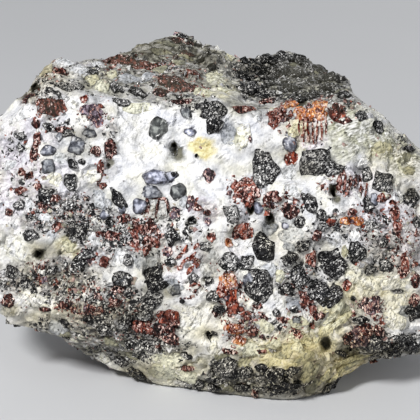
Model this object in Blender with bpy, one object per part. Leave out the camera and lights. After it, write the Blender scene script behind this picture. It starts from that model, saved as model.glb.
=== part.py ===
"""A hand specimen of zinc ore: white calcite with black franklinite, red zincite and pale willemite.

It is one stone, so it is one solid. The stone is lofted through rails that run from its left end to
its right end, broken up with fracture planes and ledges, and then given its proud franklinite
crystals, its zincite lumps and the pits that lost grains have left.
Lengths are in millimetres and become metres when the mesh is made. +Z is up, the broad front face
looks towards -Y and leans back, and the stone rests on the flat of its underside at Z = 0.
"""

import math

import bmesh
import bpy
import numpy as np
from mathutils import Matrix, Quaternion, Vector, noise
from mathutils.bvhtree import BVHTree

NODE = "zinc_ore_specimen"
MM = 0.001

# ---- Driving dimensions: the stone's rails, each a list of (x, y, z) from left to right ----
LEFT_END = -38.5
RIGHT_END = 39.9

# The lowest edge that shows in front. It is on the ground from x = -10 to x = 21.
LOW_EDGE = [(-38.5, -3, 14.2), (-35.2, -4, 11.8), (-31.5, -4.6, 9.5), (-27.7, -5.2, 7.6), (-22, -5.6, 3.9),
            (-17, -5, 1.4), (-10, -7.4, 0), (-3.4, -9.6, 0), (5, -12.4, 0), (12.4, -14.6, 0),
            (16.5, -14, 0), (19.4, -11.2, 0), (21.8, -9.4, 2.8), (24.4, -9, 5.3), (28, -8.6, 5.7),
            (31.5, -8, 5.3), (35, -7, 4.7), (39.9, -4, 4.9)]
# Where the front face stops and the stone turns under.
CHIN = [(-38.5, -5, 15.8), (-34.6, -6.6, 13.8), (-27.2, -8, 10.8), (-18, -9.8, 7.6),
        (-9.8, -11.6, 7), (-1.6, -13.2, 8), (6.5, -14.6, 9), (14.7, -15.3, 9.4), (22.9, -13, 9.6),
        (31.2, -10.8, 10.4), (39.9, -7.4, 11.6)]
FRONT_LOWER = [(-38.5, -5.8, 22), (-27, -9.6, 20), (-18, -11.2, 18.5), (-10, -12.2, 18),
               (0, -12.8, 18), (14, -13.4, 18), (26, -11.8, 18), (34, -9.4, 17.5), (39.9, -7, 17)]
FRONT_MIDDLE = [(-38.5, -4.5, 30), (-27, -7.2, 31), (-10, -8.2, 31), (0, -8.4, 30), (14, -8.6, 30),
                (26, -7.4, 29), (34, -5.4, 27), (39.9, -4, 24)]
FRONT_UPPER = [(-38.5, -2.2, 37), (-27, -2.6, 41), (-10, -1.9, 40.5), (0, -1.6, 40.5), (14, -2.2, 40.5),
               (26, -2.2, 38), (34, -1.8, 33.5), (39.9, -1, 29)]
# The edge between the front face and the top.
CREST = [(-38.5, 0, 40.3), (-34.5, 0, 43.2), (-31.2, 0, 45.6), (-27, 0.5, 48), (-23, 1, 47.7),
         (-18, 1, 46.7), (-10, 1, 46.9), (-1.6, 1.5, 46.7), (5, 2, 46.4), (13, 2, 46.4),
         (20, 2.5, 46.7), (23.5, 3, 45.6), (28.2, 3, 42.2), (35, 2, 36.3), (39.9, 1, 31.6)]
TOP_MIDDLE = [(-38.5, 2, 40.5), (-31.2, 3.2, 45.7), (-26, 6, 50), (-18, 8, 48.6), (-10, 9.5, 48.4),
              (-3, 11, 48.4), (5, 10.5, 46.2), (13, 13, 46.6), (20, 12.5, 46.5), (24, 8, 45.4),
              (28.4, 6, 42.4), (35, 4.5, 36.6), (39.9, 3.4, 31.8)]
# The skyline: a hump, a notch at x = 5 and a second, lower hump.
RIDGE = [(-38.5, 4, 40.6), (-34.9, 5, 42.8), (-31.6, 6, 44.9), (-28.4, 9, 49), (-26.5, 11, 51.3),
         (-21.9, 12, 51.8), (-18.5, 13, 51.4), (-16, 15, 51.9), (-10.2, 18, 52.9), (-3.4, 21, 52.2),
         (0.9, 20, 50.8), (4.8, 19, 48.9), (8.3, 23, 48.2), (13.9, 25, 49), (19, 23, 47.5),
         (23, 18, 46.2), (24.5, 12, 44.8), (28.6, 9, 42.1), (35.3, 7, 36.6), (39.9, 6, 32.3)]
BACK_UPPER = [(-38.5, 9, 36), (-28, 16, 42), (-16, 23, 42), (-3, 27.5, 42), (5, 26, 40),
              (14, 29.5, 41), (20, 26, 41), (25, 18, 38), (33, 12.5, 32), (39.9, 9, 26)]
BACK_MIDDLE = [(-38.5, 12, 26), (-28, 19, 24), (-15, 24, 22), (0, 26, 20), (14, 27, 20),
               (25, 20, 20), (33, 15, 19), (39.9, 10.5, 18)]
BACK_BASE = [(-38.5, 7, 14), (-28, 12, 9), (-18, 15, 2.5), (-12, 16, 0), (0, 17, 0), (14, 16, 0),
             (22, 13, 1.5), (28, 10, 5.5), (35, 8, 7.5), (39.9, 6, 9)]
RAILS = [LOW_EDGE, CHIN, FRONT_LOWER, FRONT_MIDDLE, FRONT_UPPER, CREST, TOP_MIDDLE, RIDGE,
         BACK_UPPER, BACK_MIDDLE, BACK_BASE]
STATIONS = [LEFT_END, -35, -31.5, -28.5, -26.5, -22, -18, -14, -10, -6.5, -3, 1, 4.8, 8.3, 11,
            14, 19, 23, 24.5, 28, 31.5, 35.5, RIGHT_END]
END_BULGE = 1.6

# ---- Places on the front face: (across, up) from the face's centre, square to its lean ----
FACE_LEAN = math.radians(20)
FACE_CENTRE = Vector((0, 0, 28.5))

# Broad hollows (positive depth) and swells (negative): across, up, radius, depth.
DENTS = [(-8, 12, 9, 1.6), (7, 13, 7, 1.0), (11.5, -2, 5, 1.6), (-27, 4, 9, -0.8), (8, -18, 9, -0.9),
         (27, -13, 7, 0.9), (-16, -16, 10, -0.6), (19, 2, 8, -0.7), (-3, -20, 5, 0.9), (31, 12, 8, 0.7)]
DENT_REACH = 12.0

# Franklinite crystals that stand proud: across, up, half width, half length, turn in degrees.
CRYSTALS = [(-8.7, 13.8, 1.9, 2.1, 20), (0.4, 16.9, 1.9, 2.8, 80), (0.9, 14.4, 1.5, 1.6, 15),
            (9.2, 7.4, 2.1, 3.0, 10), (17.6, 8.4, 2.4, 3.6, 80), (28.6, 4.2, 2.1, 2.6, 60),
            (16.4, 1.6, 1.3, 2.3, 25), (8.8, -6.2, 2.0, 2.4, 15), (13.0, -8.6, 1.9, 2.2, 40),
            (7.3, -12.3, 2.2, 3.1, 10), (20.2, -9.8, 2.5, 2.8, 70), (18.6, -14.4, 2.2, 3.1, 80),
            (-8.1, -10.4, 2.4, 2.7, 5), (3.8, -0.6, 1.6, 1.7, 30), (-9.0, 5.4, 1.4, 2.4, 85),
            (-5.3, 3.3, 1.4, 2.0, 5), (-9.9, 3.0, 1.3, 1.7, 70), (-11.8, 0.8, 1.3, 1.5, 10),
            (-15.6, 2.0, 0.9, 1.8, 30), (-27.2, 7.5, 1.5, 1.5, 0), (-22.4, 12.4, 2.0, 2.6, 70),
            (-14.9, -11.2, 1.5, 2.3, 80), (26.5, -17.2, 2.0, 2.5, 40), (11.8, -27.2, 2.2, 2.8, 75),
            (2.2, -26.4, 2.0, 2.3, 20), (33.5, 2.4, 1.5, 2.2, 70), (22.8, -6.8, 1.6, 1.7, 0),
            (-23.2, -3.4, 1.7, 2.3, 80), (-9.6, -26.0, 1.4, 2.0, 60), (-28.8, 17.5, 1.2, 1.6, 30),
            (28.6, -22.6, 1.9, 2.8, 80), (20.4, -26.8, 1.4, 2.0, 70), (-21.8, -9.6, 1.7, 1.9, 45),
            (-15.2, -17.6, 1.7, 1.8, 0), (26.6, -0.8, 1.4, 1.5, 30)]

# Zincite grains, rounded and uneven: the same measures.
ZINCITE = [(-26.5, 17.0, 2.1, 2.1, 0), (-19.4, 14.6, 1.6, 2.2, 0), (6.3, 3.4, 1.9, 2.3, 60),
           (14.0, 0.2, 1.6, 2.2, 60), (6.4, -3.2, 1.5, 2.5, 50), (3.6, -12.4, 1.8, 3.6, 5),
           (17.6, 17.2, 1.5, 4.4, 85), (11.4, 15.4, 1.4, 2.4, 50), (-5.0, -21.6, 2.4, 3.4, 60),
           (-12.4, -4.2, 2.4, 3.4, 80), (22.4, 5.2, 1.8, 2.6, 30), (32.0, -8.4, 1.5, 3.0, 20),
           (4.6, -21.6, 1.6, 2.8, 20), (24.8, -21.2, 1.8, 2.9, 70), (-0.2, 6.4, 1.0, 1.3, 0),
           (-17.0, 10.6, 1.2, 2.0, 10), (-8.6, -25.4, 1.0, 1.3, 60)]
ZINCITE_PROUD = 0.75
ZINCITE_UNEVEN = 0.14

# Pits: the same measures.
PITS = [(-6.0, 10.3, 0.9, 1.5, 5), (7.0, 0.7, 0.8, 1.2, 25), (9.7, -1.3, 1.0, 1.3, 20),
        (-3.2, -2.0, 0.7, 0.8, 0), (20.6, 3.0, 0.7, 1.3, 0), (19.2, -22.4, 1.3, 1.5, 0),
        (23.8, -14.7, 0.6, 0.6, 0), (-0.4, -20.5, 0.8, 1.2, 10), (-29.0, 20.4, 0.9, 1.0, 0),
        (-10.2, 10.4, 0.5, 0.7, 0), (-16.8, 7.2, 0.7, 1.2, 30), (-28.4, -7.2, 0.8, 0.8, 0)]
PIT_DEPTH = 2.4
PIT_CLEAR = 1.2

# An octahedron's own measures, for corners at distance 1: its faces' distance, and its half width
# between two faces once the corners are cut.
FACE_DISTANCE = 1 / math.sqrt(3)
BELT = 0.72
CORNER_CUT = 0.22
CRYSTAL_PROUD = (0.35, 0.85)
CRYSTAL_TILT = 0.12
SUNK = 1.8
CAST_START = 40.0

# ---- The broken surface ----
SEED = 13
VOXEL = 0.8
SWELL = 0.1
BACK_RELIEF = 1.2
SKYLINE = 44.0
SKYLINE_FADE = 8.0
LUMP_SIZE = 9.0
LUMP_HEIGHT = 0.5
LEDGE_SIZE = 10.0
LEDGE_PLACE = Vector((7, 3, 1))
LEDGE_STEPS = 3.0
LEDGE_HEIGHT = 0.45
RISER_SHARPNESS = 4.0
GROUND_FADE = 4.0
GROUND_SNAP = 0.5
FLAT_CENTRE = (5.0, 0.0)
FLAT_RADII = (17.0, 16.0)
FLAT_UNEVEN = 0.45
FLAT_PATCH = 7.0
UNDERCUT_WIDTH = 0.5
UNDERCUT_HEIGHT = 2.4
UNDERCUT_REACH = 3.0
CHIP_COUNT = 110
CHIP_FLOOR = 1.0
CHIP_TILT = 0.16
CHIP_RADIUS = (3.5, 8.0)
CHIP_DEPTH = (0.0, 0.6)
CHIP_LIMIT = 1.6
CHIP_EDGE = 4.0
BODY_TRIANGLES = 2800
WELD = 0.0005

# ---- The grains of the sides, top and back ----
SCATTER_TRIES = 900
SCATTER_COUNT = 46
SCATTER_GAP = 5.6
SCATTER_FLOOR = 3.5
SCATTER_RADIUS = (1.2, 2.2)
FRONT_FACING = 0.75

CALCITE_WHITE = (0.80, 0.79, 0.75, 1.0)


def rail_at(rail, x):
    """The point of a rail at a station."""
    xs, ys, zs = zip(*rail)
    return Vector((x, float(np.interp(x, xs, ys)), float(np.interp(x, xs, zs))))


def loft():
    """The stone's plain form, a closed tube through the rails with a blunt cap at each end."""
    bm = bmesh.new()
    rings = [[bm.verts.new(rail_at(rail, x)) for rail in RAILS] for x in STATIONS]
    count = len(RAILS)
    for ring, following in zip(rings, rings[1:]):
        for i in range(count):
            j = (i + 1) % count
            bm.faces.new((ring[i], ring[j], following[j], following[i]))
    for ring, bulge in ((rings[0], -END_BULGE), (rings[-1], END_BULGE)):
        middle = sum((v.co for v in ring), Vector()) / count + Vector((bulge, 0, 0))
        tip = bm.verts.new(middle)
        for i in range(count):
            bm.faces.new((ring[i], ring[(i + 1) % count], tip))
    bmesh.ops.recalc_face_normals(bm, faces=bm.faces)
    return bm


def on_face(across, up, depth=0.0):
    """A point of the front face's leaning plane, moved into the stone by depth."""
    upwards = Vector((0, math.sin(FACE_LEAN), math.cos(FACE_LEAN)))
    inwards = Vector((0, math.cos(FACE_LEAN), -math.sin(FACE_LEAN)))
    return FACE_CENTRE + Vector((across, 0, 0)) + up * upwards + depth * inwards


def even_mesh(bm, name):
    """The loft as an object whose surface is covered with even, small faces."""
    bmesh.ops.triangulate(bm, faces=bm.faces)
    mesh = bpy.data.meshes.new(name)
    bm.to_mesh(mesh)
    bm.free()
    stone = bpy.data.objects.new(name, mesh)
    bpy.context.scene.collection.objects.link(stone)
    remesh = stone.modifiers.new("even", "REMESH")
    remesh.mode = "VOXEL"
    remesh.voxel_size = VOXEL
    return baked(stone)


def arrays(mesh):
    """The vertices' places and the ways out of the stone there, as two arrays of rows."""
    places = np.empty(len(mesh.vertices) * 3, np.float32)
    mesh.vertices.foreach_get("co", places)
    normals = np.empty(len(mesh.vertices) * 3, np.float32)
    mesh.vertex_normals.foreach_get("vector", normals)
    return places.reshape(-1, 3).astype(float), normals.reshape(-1, 3).astype(float)


def put(mesh, places):
    """Moves the mesh's vertices to new places."""
    mesh.vertices.foreach_set("co", places.astype(np.float32).ravel())
    mesh.update()


def dent(mesh):
    """The broad hollows and swells of the front face."""
    places, _ = arrays(mesh)
    for across, up, radius, depth in DENTS:
        middle = np.array(on_face(across, up))
        inwards = np.array(on_face(across, up, 1)) - middle
        offset = places - middle
        depth_there = offset @ inwards
        sideways = np.linalg.norm(offset - depth_there[:, None] * inwards, axis=1)
        share = np.clip(1 - (sideways / radius) ** 2, 0, None) ** 2
        share[depth_there > DENT_REACH] = 0
        places += (share * depth)[:, None] * inwards
    put(mesh, places)


def terrace(value):
    """Noise values pulled towards whole steps, which makes flat treads with short risers."""
    step = np.floor(value)
    return step + np.clip((value - step - 0.5) * RISER_SHARPNESS + 0.5, 0, 1)


def roughen(mesh):
    """Lumps and ledges, which fade out towards the ground so that the stone keeps its flat."""
    places, normals = arrays(mesh)
    lumps = np.array([noise.fractal(Vector(p) / LUMP_SIZE, 0.9, 2.0, 3) for p in places])
    flow = np.array([noise.noise(Vector(p) / LEDGE_SIZE + LEDGE_PLACE) for p in places])
    ledges = terrace(flow * LEDGE_STEPS) + 0.5
    fade = np.clip(places[:, 2] / GROUND_FADE, 0, 1)
    below = np.clip((SKYLINE - places[:, 2]) / SKYLINE_FADE, 0, 1)
    relief = 1 + BACK_RELIEF * np.clip(normals[:, 1], 0, 1) * below
    height = (SWELL + lumps * LUMP_HEIGHT + ledges * LEDGE_HEIGHT) * relief * fade
    put(mesh, places + height[:, None] * normals)


def chip(mesh, rng):
    """Flat fracture faces: round each chosen place, what stands above a tilted plane is cut to it."""
    for _ in range(CHIP_COUNT):
        places, normals = arrays(mesh)
        chosen = int(rng.integers(len(places)))
        middle = places[chosen]
        normal = normals[chosen] + rng.normal(0, CHIP_TILT, 3)
        normal /= np.linalg.norm(normal)
        radius = rng.uniform(*CHIP_RADIUS)
        over = (places - middle) @ normal + rng.uniform(*CHIP_DEPTH)
        near = np.linalg.norm(places - middle, axis=1) / radius
        cut = np.clip(over, 0, CHIP_LIMIT) * np.clip((1 - near) * CHIP_EDGE, 0, 1)
        cut *= np.clip((places[:, 2] - CHIP_FLOOR) / GROUND_FADE, 0, 1)
        put(mesh, places - cut[:, None] * normal)


def undercut(mesh):
    """The underside rises round an uneven patch, which is all that the stone rests on."""
    places, _ = arrays(mesh)
    across = (places[:, 0] - FLAT_CENTRE[0]) / FLAT_RADII[0]
    along = (places[:, 1] - FLAT_CENTRE[1]) / FLAT_RADII[1]
    waver = np.array([noise.noise(Vector(p) / FLAT_PATCH) for p in places])
    outside = np.hypot(across, along) + FLAT_UNEVEN * waver - 1
    rise = np.clip(outside / UNDERCUT_WIDTH, 0, 1) * UNDERCUT_HEIGHT
    places[:, 2] += rise * np.clip(1 - places[:, 2] / UNDERCUT_REACH, 0, 1)
    put(mesh, places)


def ground(mesh):
    """Everything at or under the ground becomes part of the flat that the stone rests on."""
    places, _ = arrays(mesh)
    places[places[:, 2] < GROUND_SNAP, 2] = 0.0
    put(mesh, places)


def thin(stone, triangles):
    """A triangle mesh of about that many faces, which keeps the flats and the edges."""
    bm = bmesh.new()
    bm.from_mesh(stone.data)
    bmesh.ops.triangulate(bm, faces=bm.faces)
    bm.to_mesh(stone.data)
    bm.free()
    decimate = stone.modifiers.new("thin", "DECIMATE")
    decimate.ratio = triangles / len(stone.data.polygons)
    return baked(stone)


def baked(stone):
    """The object with its modifiers applied."""
    evaluated = stone.evaluated_get(bpy.context.evaluated_depsgraph_get())
    mesh = bpy.data.meshes.new_from_object(evaluated)
    stone.modifiers.clear()
    stone.data = mesh
    return stone


def octahedral(bm, point, turn, half_width, half_length, proud, sunk):
    """A franklinite crystal on one of its faces: an octahedron with its six corners cut off.

    Its top face stands proud of the point and its bottom face is sunk under it.
    """
    corners = [Vector(c) for c in ((1, 0, 0), (-1, 0, 0), (0, 1, 0), (0, -1, 0), (0, 0, 1), (0, 0, -1))]
    face_up = Vector((1, 1, 1)).rotation_difference(Vector((0, 0, 1)))
    stretch = Vector((half_width / BELT, half_length / BELT, (proud + sunk) / 2 / FACE_DISTANCE))
    middle = Vector((0, 0, (proud - sunk) / 2))
    placed = []
    for corner in corners:
        for other in corners:
            if abs(corner.dot(other)) < 0.5:
                cut = face_up @ corner.lerp(other, CORNER_CUT)
                placed.append(bm.verts.new(point + turn @ (middle + cut * stretch)))
    bmesh.ops.convex_hull(bm, input=placed)


def uneven_grain(bm, point, turn, half_width, half_length, rng):
    """A zincite grain: rounded and uneven, without crystal faces."""
    scale = Matrix.Diagonal(Vector((half_width, half_length, ZINCITE_PROUD)))
    made = bmesh.ops.create_icosphere(bm, subdivisions=1, radius=1.0)["verts"]
    for v in made:
        uneven = 1 + rng.uniform(-ZINCITE_UNEVEN, ZINCITE_UNEVEN)
        v.co = point + turn @ (scale @ (v.co * uneven))


def surface_of(stone):
    """The stone's triangles, for finding where a line meets it."""
    mesh = stone.data
    return BVHTree.FromPolygons([v.co for v in mesh.vertices], [p.vertices for p in mesh.polygons])


def seat(tree, across, up):
    """Where a place on the front face meets the stone, and the way out of it there."""
    start = on_face(across, up, -CAST_START)
    inwards = (on_face(across, up, 1) - on_face(across, up)).normalized()
    point, normal, _, _ = tree.ray_cast(start, inwards)
    if point is None:
        raise ValueError(f"no stone at {across}, {up}")
    return point, normal


def as_object(bm, name):
    """A mesh object from bmesh, with its faces pointing out."""
    bmesh.ops.triangulate(bm, faces=bm.faces)
    bmesh.ops.recalc_face_normals(bm, faces=bm.faces)
    mesh = bpy.data.meshes.new(name)
    bm.to_mesh(mesh)
    bm.free()
    thing = bpy.data.objects.new(name, mesh)
    bpy.context.scene.collection.objects.link(thing)
    return thing


def scattered(stone, rng, taken):
    """Seeded places for grains over the sides, top and back, clear of each other and of the ground."""
    polygons = stone.data.polygons
    areas = np.array([p.area for p in polygons])
    order = rng.choice(len(polygons), size=SCATTER_TRIES, p=areas / areas.sum())
    for index in order:
        face = polygons[int(index)]
        towards_front = -face.normal.y * math.cos(FACE_LEAN) + face.normal.z * math.sin(FACE_LEAN)
        if face.center.z < SCATTER_FLOOR or face.normal.z < -0.5 or towards_front > FRONT_FACING:
            continue
        if all((face.center - other).length > SCATTER_GAP for other in taken):
            taken.append(face.center.copy())
            yield face.center.copy(), face.normal.copy()


def turned(normal, spin, rng):
    """A rotation that takes +Z nearly to the way out of the stone, after a spin about it."""
    leaning = (normal + Vector(rng.normal(0, CRYSTAL_TILT, 3))).normalized()
    return Vector((0, 0, 1)).rotation_difference(leaning) @ Quaternion((0, 0, 1), spin)


def grow(stone, rng):
    """The franklinite crystals and zincite grains, as closed solids that reach into the stone."""
    tree = surface_of(stone)
    bm = bmesh.new()
    taken = []
    for across, up, half_width, half_length, spin in CRYSTALS:
        point, normal = seat(tree, across, up)
        taken.append(point)
        turn = turned(normal, math.radians(spin), rng)
        octahedral(bm, point, turn, half_width, half_length, rng.uniform(*CRYSTAL_PROUD), SUNK)
    for across, up, half_width, half_length, spin in ZINCITE:
        point, normal = seat(tree, across, up)
        taken.append(point)
        turn = turned(normal, math.radians(spin), rng)
        uneven_grain(bm, point, turn, half_width, half_length, rng)
    for number, (point, normal) in enumerate(scattered(stone, rng, taken)):
        if number == SCATTER_COUNT:
            break
        half_width, half_length = rng.uniform(*SCATTER_RADIUS, 2)
        turn = turned(normal, rng.uniform(0, math.pi), rng)
        if number % 3:
            octahedral(bm, point, turn, half_width, half_length, rng.uniform(*CRYSTAL_PROUD), SUNK)
        else:
            uneven_grain(bm, point, turn, half_width, half_length, rng)
    return as_object(bm, "grains")


def pits(stone, rng):
    """Where grains have fallen out: the hollows keep the crystals' shape."""
    tree = surface_of(stone)
    bm = bmesh.new()
    for across, up, half_width, half_length, spin in PITS:
        point, normal = seat(tree, across, up)
        turn = turned(normal, math.radians(spin), rng)
        octahedral(bm, point, turn, half_width, half_length, PIT_CLEAR, PIT_DEPTH)
    return as_object(bm, "lost_grains")


def combine(stone, other, operation):
    """A Boolean join or cut, applied at once."""
    modifier = stone.modifiers.new(operation.lower(), "BOOLEAN")
    modifier.operation = operation
    modifier.object = other
    modifier.use_self = True
    baked(stone)
    bpy.data.objects.remove(other)


def clean(stone):
    """Slivers go, and the mesh is closed triangles."""
    bm = bmesh.new()
    bm.from_mesh(stone.data)
    bmesh.ops.remove_doubles(bm, verts=bm.verts, dist=WELD)
    bmesh.ops.dissolve_degenerate(bm, edges=bm.edges, dist=WELD)
    for v in bm.verts:
        v.co.z = max(v.co.z, 0.0)
    bmesh.ops.triangulate(bm, faces=bm.faces)
    bm.to_mesh(stone.data)
    bm.free()


def ore_material():
    """White calcite, the stone's main mineral."""
    material = bpy.data.materials.new("calcite_ore")
    material.use_nodes = True
    shader = material.node_tree.nodes["Principled BSDF"]
    shader.inputs["Base Color"].default_value = CALCITE_WHITE
    shader.inputs["Roughness"].default_value = 0.55
    shader.inputs["Metallic"].default_value = 0.0
    return material


def build():
    """The whole stone, in metres."""
    for thing in list(bpy.data.objects):
        bpy.data.objects.remove(thing)
    rng = np.random.default_rng(SEED)
    stone = even_mesh(loft(), NODE)
    dent(stone.data)
    roughen(stone.data)
    chip(stone.data, rng)
    undercut(stone.data)
    ground(stone.data)
    thin(stone, BODY_TRIANGLES)
    lost = pits(stone, rng)
    grains = grow(stone, rng)
    combine(stone, grains, "UNION")
    combine(stone, lost, "DIFFERENCE")
    clean(stone)
    stone.data.name = NODE
    stone.data.transform(Matrix.Scale(MM, 4))
    stone.data.materials.append(ore_material())


build()
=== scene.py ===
"""Looks of the zinc ore specimen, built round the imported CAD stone.

The stone's skin is remeshed and broken into cleavage facets, and the grains of franklinite,
zincite and willemite are set into it as closed meshes. Lengths here are in millimetres until a mesh
is made. Places in the photograph are pixels of its 420 x 420 frame.
"""

import itertools
import math

import bmesh
import bpy
import numpy as np
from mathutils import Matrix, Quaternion, Vector, noise
from mathutils.bvhtree import BVHTree
from mathutils.kdtree import KDTree


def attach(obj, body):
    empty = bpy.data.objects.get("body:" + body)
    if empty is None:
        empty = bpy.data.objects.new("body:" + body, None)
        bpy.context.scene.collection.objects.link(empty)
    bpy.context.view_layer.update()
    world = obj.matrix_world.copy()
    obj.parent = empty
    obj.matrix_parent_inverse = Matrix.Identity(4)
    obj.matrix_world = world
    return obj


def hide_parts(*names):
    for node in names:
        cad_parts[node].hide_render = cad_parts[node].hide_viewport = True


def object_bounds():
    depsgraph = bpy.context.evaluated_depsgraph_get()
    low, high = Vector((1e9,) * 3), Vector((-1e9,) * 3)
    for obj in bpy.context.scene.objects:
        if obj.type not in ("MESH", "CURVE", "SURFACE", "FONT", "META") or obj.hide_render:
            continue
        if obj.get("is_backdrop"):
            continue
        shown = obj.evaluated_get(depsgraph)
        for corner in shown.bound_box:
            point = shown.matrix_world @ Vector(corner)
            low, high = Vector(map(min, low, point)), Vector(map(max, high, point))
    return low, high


NODE = "zinc_ore_specimen"
BODY = "root"
MATRIX = "calcite_matrix"
MM = 0.001

# ---- Camera: the photograph's view ----
IMAGE = 420
ELEVATION = math.radians(20)
DISTANCE = 400.0
AIM = Vector((0, 0, 28.5))
PIXELS_PER_MM = 6.0
SENSOR = 36.0
CLIP_START = 10.0
FORWARD = Vector((0, math.cos(ELEVATION), -math.sin(ELEVATION)))
RIGHT = Vector((1, 0, 0))
UP = Vector((0, math.sin(ELEVATION), math.cos(ELEVATION)))
EYE = AIM - FORWARD * DISTANCE
FOCAL = DISTANCE * PIXELS_PER_MM

# ---- Stage ----
# Each light's name, azimuth and elevation in degrees, distance and size in metres, watts and colour.
# Azimuth 0 is behind the camera, and plus is to the right.
LIGHTS = [
    ("key", -36, 43, 0.75, 0.15, 6.3, (1.0, 0.99, 0.975)),
    ("fill", 50, 25, 0.80, 0.40, 1.1, (1.0, 1.0, 1.0)),
    ("back", 160, 14, 0.90, 0.50, 1.8, (1.0, 1.0, 1.0)),
]
SKY_COLOUR = (0.93, 0.96, 1.0, 1)
SKY_STRENGTH = 0.20
FLOOR_TONES = [(0.3, (0.588, 0.5978, 0.6174)), (0.7, (0.60, 0.61, 0.63))]
FLOOR_CLOUDS = 60.0
FLOOR_HALF = 2000.0

# ---- The matrix: calcite with fine ore grains ----
WELD = 0.001
SKIN_VOXEL = 0.435
SOFTEN_ROUNDS = 6
SOFTEN_SHARE = 0.5
FACET_SIZE = 3.4
FACET_TILT = 0.42
FACET_STEP = 0.10
FACET_WARP_SIZE = 2.0
FACET_WARP = 0.5
STEP_SPACING = 1.1
STEP_HEIGHT = 0.12
WAVE_SIZE = 2.4
WAVE_HEIGHT = 0.42
FIBRE_FLATNESS = 0.6
ROUGH_SIZE = 0.9
ROUGH_HEIGHT = 0.10
ROUGH_LEAST = 0.5
ROUGH_ON_ORE = 2.0
RELIEF_LIMIT = 0.60
GROUND_FADE = 1.5
EDGE_ON = (0.05, 0.50)
EDGE_RELIEF = 0.35
FACET_WARP_PLACES = [Vector((5 * axis, 0, 3)) for axis in range(3)]

# ---- Noise: its layers, and a hash of whole numbers ----
WAVE_LAYERS = (0.9, 2.0)
HASH_ROWS = np.array([[127.1, 311.7, 74.7], [269.5, 183.3, 246.1], [113.5, 271.9, 124.6]])
HASH_SCALE = 43758.5453
FACET_SEED = 1.0
HACKLE_SEED = 3.0
CELL_SEED = 7.0

# ---- Grains ----
# Finding the stone under a grain: rings of rays as shares of its reach, how many rays are in each, and
# how many reaches off the stone may still be met.
SEAT_RINGS = ((0.0, 1), (0.5, 6), (0.9, 8))
SEAT_NEAR = 6
CAST_FROM = 4.0
REACH = 2.0
SHEET_MARGIN = 0.3
LEAST_NARROWING = 0.55
# A grain's own mesh: its rings and segments, its corners, how its edge wavers, how deep it is sunk, how
# far it may dip under the stone's face and how the planes that cut its top are spread.
RING_STEP = 0.27
RING_CROWDING = 0.9
LEAST_RINGS = 2
SEGMENT_STEP = RING_STEP * 1.15
LEAST_SEGMENTS = 9
CORNERS = (4, 7)
CORNER_GROWTH = 1.08
ROUND_SHARE = 0.2
POLYGON_SHARE = 0.8
WAVER_COUNTS = (2, 3, 4, 5, 7)
WAVER_PHASES = 6.28
SUNK = 0.9
DIP = 0.25
PROUD_SPREAD = (0.7, 1.3)
PLANE_REACH = (0.25, 0.8)
# Grains where the photograph doesn't reach.
LEAST_FACING = 0.12
FRAME_MARGIN = 2
CLEAR_OF_SHOWN = 1.35
FLOOR_GAP = 0.6
LEAST_WEIGHT = 1e-9
EVEN_WEIGHT = 0.25
SPREAD_SHAPE = (0.8, 1.25)
SPREAD_TONES = (0, 0.7)
# Specks: radii from least to most, how strongly the small ones prevail, and their shape.
ORE_SPECK_RADII = (0.18, 1.15)
PALE_SPECK_RADII = (0.18, 0.80)
SPECK_BIAS = 2.8
SPECK_FLOOR_GAP = 0.8
SPECK_LENGTHS = (0.55, 1.35)
SPECK_DENT = 0.16
SPECK_FLATNESS = 0.7
SPECK_SUNK = 0.2
# Where specks lie: how strongly they follow the ore, and what keeps them away.
SPECK_POWER = 2.5
HOLLOW_POWER = 4
DIRT_AND_SHADE_HIDES = 0.65
FIBRE_HIDES = 0.6
ON_WILLEMITE = 0.7
EVERYWHERE = 0.01

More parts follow.
